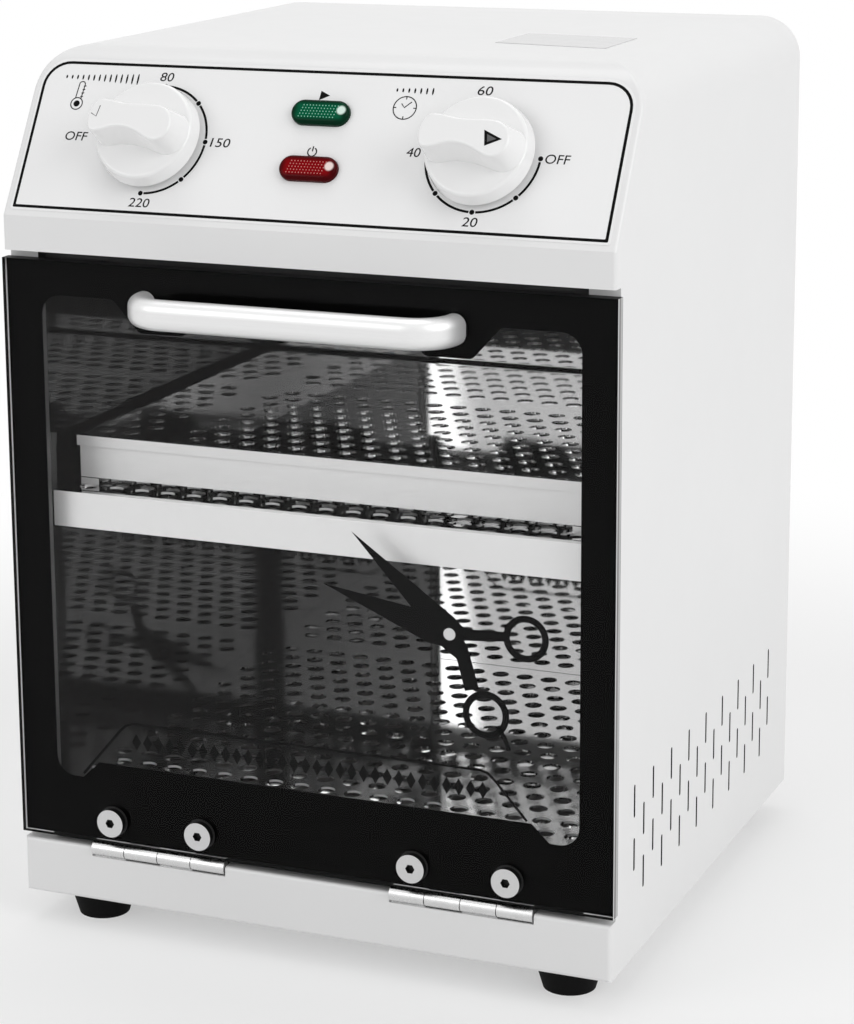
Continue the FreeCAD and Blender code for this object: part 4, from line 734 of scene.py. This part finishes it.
# %% Growing a mesh from a tree
class Rule(Tree):
    """A Geometry Nodes tree with named inputs for its sizes."""

    KINDS = {int: "NodeSocketInt", float: "NodeSocketFloat"}

    def __init__(self, name, **sizes):
        super().__init__(bpy.data.node_groups.new(name, "GeometryNodeTree"))
        face = self.nodes.interface
        face.new_socket("Geometry", in_out="OUTPUT", socket_type="NodeSocketGeometry")
        for label, size in sizes.items():
            kind = self.KINDS[type(size)]
            face.new_socket(label, in_out="INPUT", socket_type=kind).default_value = size
        face.new_socket("finish", in_out="INPUT", socket_type="NodeSocketMaterial")
        self.inputs = self.node("NodeGroupInput")

    def __getitem__(self, label):
        return self.inputs.out(label)

    def shape(self, kind, settings=None, out=0, **inputs):
        named = {name.replace("_", " ").title(): value for name, value in inputs.items()}
        return self.node("GeometryNode" + kind, settings, named, out)

    def point(self, x=0.0, y=0.0, z=0.0):
        return self.node("ShaderNodeCombineXYZ", inputs={0: x, 1: y, 2: z})

    def count(self):
        return self.node("GeometryNodeInputIndex")

    def moved(self, shape, offset):
        return self.shape("Transform", geometry=shape, translation=offset)

    def join(self, *shapes):
        joined = self.node("GeometryNodeJoinGeometry")
        for shape in shapes:
            self.nodes.links.new(shape.socket, joined.socket.node.inputs[0])
        return joined

    def done(self, shape):
        """Realize the instances, set the finish and end the tree."""
        real = self.shape("RealizeInstances", geometry=shape)
        painted = self.shape("SetMaterial", geometry=real, material=self["finish"])
        self.node("NodeGroupOutput", inputs={0: painted})
        print("rule:", self.nodes.name, "-", len(self.nodes.nodes), "nodes")


def grown(name, rule, where, finish, body, slot, **sizes):
    """Build a rule with its sizes and settle the plain mesh in its place."""
    seed = bpy.data.objects.new(name + "_seed", bpy.data.meshes.new(name + "_seed"))
    bpy.context.scene.collection.objects.link(seed)
    modifier = seed.modifiers.new("rule", "NODES")
    modifier.node_group = rule.nodes
    for socket in rule.nodes.interface.items_tree:
        if socket.in_out == "INPUT":
            value = finish if socket.name == "finish" else sizes.get(socket.name)
            if value is not None:
                modifier[socket.identifier] = value
    bpy.context.view_layer.update()
    mesh = bpy.data.meshes.new_from_object(
        seed.evaluated_get(bpy.context.evaluated_depsgraph_get()))
    seed.modifiers.remove(modifier)
    bpy.data.objects.remove(seed)
    mesh.transform(where)
    settle(name, mesh, finish, body)


print("rules are ready")

# %% [markdown]
# ## The dial scales
# Each stroke is an arc that stops a little short of the dots at its two ends. A dot is a thin
# disc. Both stand at the dial's own middle, and the instances only turn them.

# %% Dial scales
dial = Rule("dial_scale", radius=19.5, first=0.0, step=0.785, gap=0.06, width=0.8, dot=0.85,
            thickness=0.06, strokes=4)
stroke = dial.shape("CurveArc", radius=dial["radius"], start_angle=dial["gap"],
                    sweep_angle=dial["step"] - dial["gap"] * 2, resolution=18)
section = dial.shape("CurvePrimitiveQuadrilateral", width=dial["width"],
                     height=dial["thickness"])
stroke = dial.node("GeometryNodeCurveToMesh", inputs={
    "Curve": dial.node("GeometryNodeSetCurveNormal", {"mode": "Z_UP"}, {"Curve": stroke}),
    "Profile Curve": section, "Fill Caps": True})
dot = dial.moved(dial.shape("MeshCylinder", vertices=20, radius=dial["dot"],
                            depth=dial["thickness"]), dial.point(x=dial["radius"]))
turned = dial.point(z=dial["first"] + dial["step"] * dial.count())
still = (0.0, 0.0, 0.0)
stroke_points = dial.node("GeometryNodeMeshLine", inputs={
    "Count": dial["strokes"], "Offset": still})
dot_points = dial.node("GeometryNodeMeshLine", inputs={
    "Count": dial["strokes"] + 1, "Offset": still})
dial.done(dial.join(
    dial.node("GeometryNodeInstanceOnPoints", inputs={
        "Points": stroke_points, "Instance": stroke, "Rotation": turned}),
    dial.node("GeometryNodeInstanceOnPoints", inputs={
        "Points": dot_points, "Instance": dot, "Rotation": turned})))
for name, first, strokes in (("temperature", -90, 4), ("timer", 90, 6)):
    grown(name + "_scale", dial,
          PANEL @ Matrix.Translation((KNOBS[name], KNOB_UP, FOIL + 0.03)),
          panel_ink, "case", "black_print", first=math.radians(first), strokes=strokes)

# %% [markdown]
# ## Rows of strokes, facets and diamonds
# Three more rows repeat one small part: the strokes over each knob, which get taller to the
# right, the facets that are moulded into the lamp lenses, and a plain row of diamonds on glass.
# One rule serves them all. It lays a grid of points, pushes every row over by a slant, and sets
# a part with a chosen number of corners on each point. Growth makes the parts taller by column.

# %% A rule for grids
grid = Rule("slanted_grid", columns=8, rows=1, step=2.0, row_step=1.0, slant=0.0, radius=0.3,
            depth=0.05, corners=4, stretch=1.0, growth=0.0, taper=1.0)
number = grid.count()
column = number.remainder(grid["columns"])
row = (number / grid["columns"]).floor()
spot = grid.point(x=column * grid["step"] + row * grid["slant"], y=row * grid["row_step"])
points = grid.node("GeometryNodePoints", inputs={
    "Count": grid["columns"] * grid["rows"], "Position": spot})
part = grid.shape("MeshCone", vertices=grid["corners"], radius_top=grid["radius"] * grid["taper"],
                  radius_bottom=grid["radius"], depth=grid["depth"])
tall = grid.point(x=1.0, y=grid["stretch"] + column * grid["growth"], z=1.0)
grid.done(grid.node("GeometryNodeInstanceOnPoints", inputs={
    "Points": points, "Instance": part, "Scale": tall}))

STROKES_UP = 51.6
LENS_TOP = 2.55
for name, x, columns in (("temperature_strokes", -97.5, 14), ("timer_strokes", 25.0, 7)):
    grown(name, grid, PANEL @ Matrix.Translation((x, STROKES_UP, FOIL)), panel_ink, "case",
          "black_print", columns=columns, step=2.1, radius=0.32, corners=8, stretch=2.0,
          growth=0.35)
for name, up, finish, slot in (("green_facets", GREEN_UP, green_spark, "green_lens"),
                               ("red_facets", RED_UP, red_spark, "red_lens")):
    grown(name, grid, PANEL @ Matrix.Translation((-7.0, up - 2.1, LENS_TOP)), finish, "case",
          slot, columns=12, rows=5, step=1.12, row_step=1.02, slant=0.30, radius=0.36,
          depth=0.12, corners=4, taper=0.2)
grown("glass_diamonds", grid, PANE @ Matrix.Translation((-65.5, 59.7, 0.02)), black_ink, "door",
      "black_print", columns=31, step=4.3, radius=1.75, depth=0.04, corners=4, stretch=1.75)

# %% [markdown]
# ## Drawings on the glass
# A thin frame line runs along the window's lower edge, and a pair of open scissors stands at the
# right as a common sign for instruments. Each blade with its handle is one closed outline, so
# the scissors are two outlines, two finger rings, a short tail and a pale disc as the pivot.
# Their place and opening follow the photo. The outline is drawn anew, and simpler.

# %% Frame line and scissors
frame_line = [(-86.8, 45.5), (-72.0, 62.9), (-69.6, 65.2), (-66.5, 66.3), (62.2, 66.6),
              (65.2, 65.9), (67.6, 63.8), (79.0, 51.0)]
plate("glass_frame_line", [band(frame_line, 0.9)], 0.0, 0.06, PANE, black_ink, body="door")


def ring_pair(x, y, outer, inner):
    return [circle(x, y, outer), circle(x, y, inner)]


upper_blade = [(17.0, 143.8), (53.4, 118.2), (57.2, 114.6), (71.8, 115.2), (71.8, 112.0),
               (57.0, 110.6), (51.0, 107.6), (47.0, 110.4)]
lower_blade = [(6.6, 124.8), (48.6, 118.6), (53.6, 116.2), (58.2, 108.6), (62.2, 94.6),
               (57.2, 93.4), (54.4, 104.0), (49.0, 107.8), (44.0, 108.6)]
plate("scissors_upper", [upper_blade], 0.0, 0.06, PANE, black_ink, body="door")
plate("scissors_lower", [lower_blade], 0.0, 0.055, PANE, black_ink, body="door")
plate("scissors_rings", ring_pair(78.6, 113.6, 7.9, 5.6), 0.0, 0.05, PANE, black_ink, body="door")
plate("scissors_ring_low", ring_pair(64.6, 86.0, 8.2, 5.9), 0.0, 0.05, PANE, black_ink,
      body="door")
plate("scissors_pivot", [circle(51.8, 112.2, 2.1)], 0.06, 0.10, PANE, label_foil, body="door")
plate("scissors_tail", [band([(68.6, 82.6), (71.2, 78.8), (72.8, 74.6)], 1.6)], 0.0, 0.05, PANE,
      black_ink, body="door")

# %% [markdown]
# ## Marks on the grips and a label on top
# Each knob's grip has its own mark, so it rides on the dial and turns with it. The top carries a
# small grey label, left blank.

# %% Grip marks and top label
GRIP_TOP = 17.7
pointer = [(65.2, 31.6), (71.6, 28.7), (66.2, 26.2)]
inner = [(66.4, 30.2), (69.8, 28.7), (66.9, 27.5)]
plate("timer_pointer", [pointer, inner], GRIP_TOP, GRIP_TOP + 0.05, PANEL, panel_ink,
      body="timer_dial")
plate("timer_pointer_fill", [inner], GRIP_TOP, GRIP_TOP + 0.03, PANEL, wire_cover,
      body="timer_dial")
plate("temperature_pointer", [band([(-74.6, 31.2), (-72.5, 30.1), (-71.8, 34.0)], 0.28)],
      GRIP_TOP, GRIP_TOP + 0.05, PANEL, wire_cover, body="temperature_dial")
plate("top_label", [[(35.9, -18.5), (78.1, -25.5), (77.6, 10.0), (36.0, 14.8)]], 0.04, 0.10, TOP,
      label_foil, slot="white_paint")

# %% [markdown]
# ## Soft studio light on a white floor
# The picture has a plain white ground. The world gives half of the light evenly from all sides,
# and three wide soft lamps give the rest: the right side of the case is the brightest, and the
# front is a little darker. The level of a lamp is stated as the brightness that a white card
# would show when it faces the lamp, and the power follows from the distance.
#
# The ground's white comes from the Light Path node: what the camera, a mirror or the glass sees
# of the world is plain white, while the light on the object stays at its own level.

# %% Lamps and world
def soft_lamp(name, toward, distance, size, level):
    """A square lamp in a direction from the object, aimed back at it."""
    data = bpy.data.lights.new(name, "AREA")
    data.size = size
    data.energy = level * math.pi ** 2 * distance ** 2
    lamp = bpy.data.objects.new(name, data)
    way = Vector(toward).normalized()
    lamp.location = Vector((0, 0, 0.15)) + way * distance
    lamp.rotation_euler = way.to_track_quat("Z", "Y").to_euler()
    bpy.context.scene.collection.objects.link(lamp)
    print("lamp:", name, round(data.energy, 1), "W")


soft_lamp("right_lamp", (0.85, -0.30, 0.50), 2.2, 1.4, 0.34)
soft_lamp("top_lamp", (-0.10, 0.10, 1.00), 2.2, 1.4, 0.20)
soft_lamp("left_lamp", (-0.60, -0.80, 0.45), 2.4, 1.2, 0.14)

AMBIENT = 0.54
room = bpy.data.worlds.new("studio")
room.use_nodes = True
bpy.context.scene.world = room
air = Tree(room.node_tree)
air.nodes.nodes.clear()
ray = air.node("ShaderNodeLightPath")
seen = ray.most(ray.out("Is Glossy Ray")).most(ray.out("Is Transmission Ray"))
air.node("ShaderNodeOutputWorld", inputs={"Surface": air.node(
    "ShaderNodeBackground", inputs={"Color": (1, 1, 1, 1),
                                    "Strength": AMBIENT + (1 - AMBIENT) * seen})})
print("world: ambient", AMBIENT)

# %% [markdown]
# ## The floor
# The floor is a wide pale plate just under the feet. Near the object it keeps the soft shadow;
# further out it fades to the plain white of the ground, so that no horizon shows.

# %% The floor
floor_mesh = bpy.data.meshes.new("floor")
floor_mesh.from_pydata([(-8, -8, 0), (8, -8, 0), (8, 8, 0), (-8, 8, 0)], [], [(0, 1, 2, 3)])
floor = bpy.data.objects.new("floor", floor_mesh)
bpy.context.scene.collection.objects.link(floor)
ground_paint = Finish("studio_floor")
flat = ground_paint.stretched((1, 1, 0))
away = ground_paint.node("ShaderNodeVectorMath", {"operation": "LENGTH"}, {0: flat}, out="Value")
path = ground_paint.node("ShaderNodeLightPath")
looked_at = path.most(path.out("Is Glossy Ray")).most(path.out("Is Transmission Ray"))
card = ground_paint.node("ShaderNodeBsdfDiffuse", inputs={"Color": (0.88, 0.88, 0.88, 1)})
white = ground_paint.node("ShaderNodeEmission", inputs={"Color": (1, 1, 1, 1)})
share = looked_at * (0.45 + 0.55 * away.fade(0.25, 0.60))
floor_mesh.materials.append(ground_paint.done(ground_paint.node(
    "ShaderNodeMixShader", inputs={0: share, 1: card, 2: white})))

# %% [markdown]
# ## The last cell
# It only imports json.

# %% The last import
import json
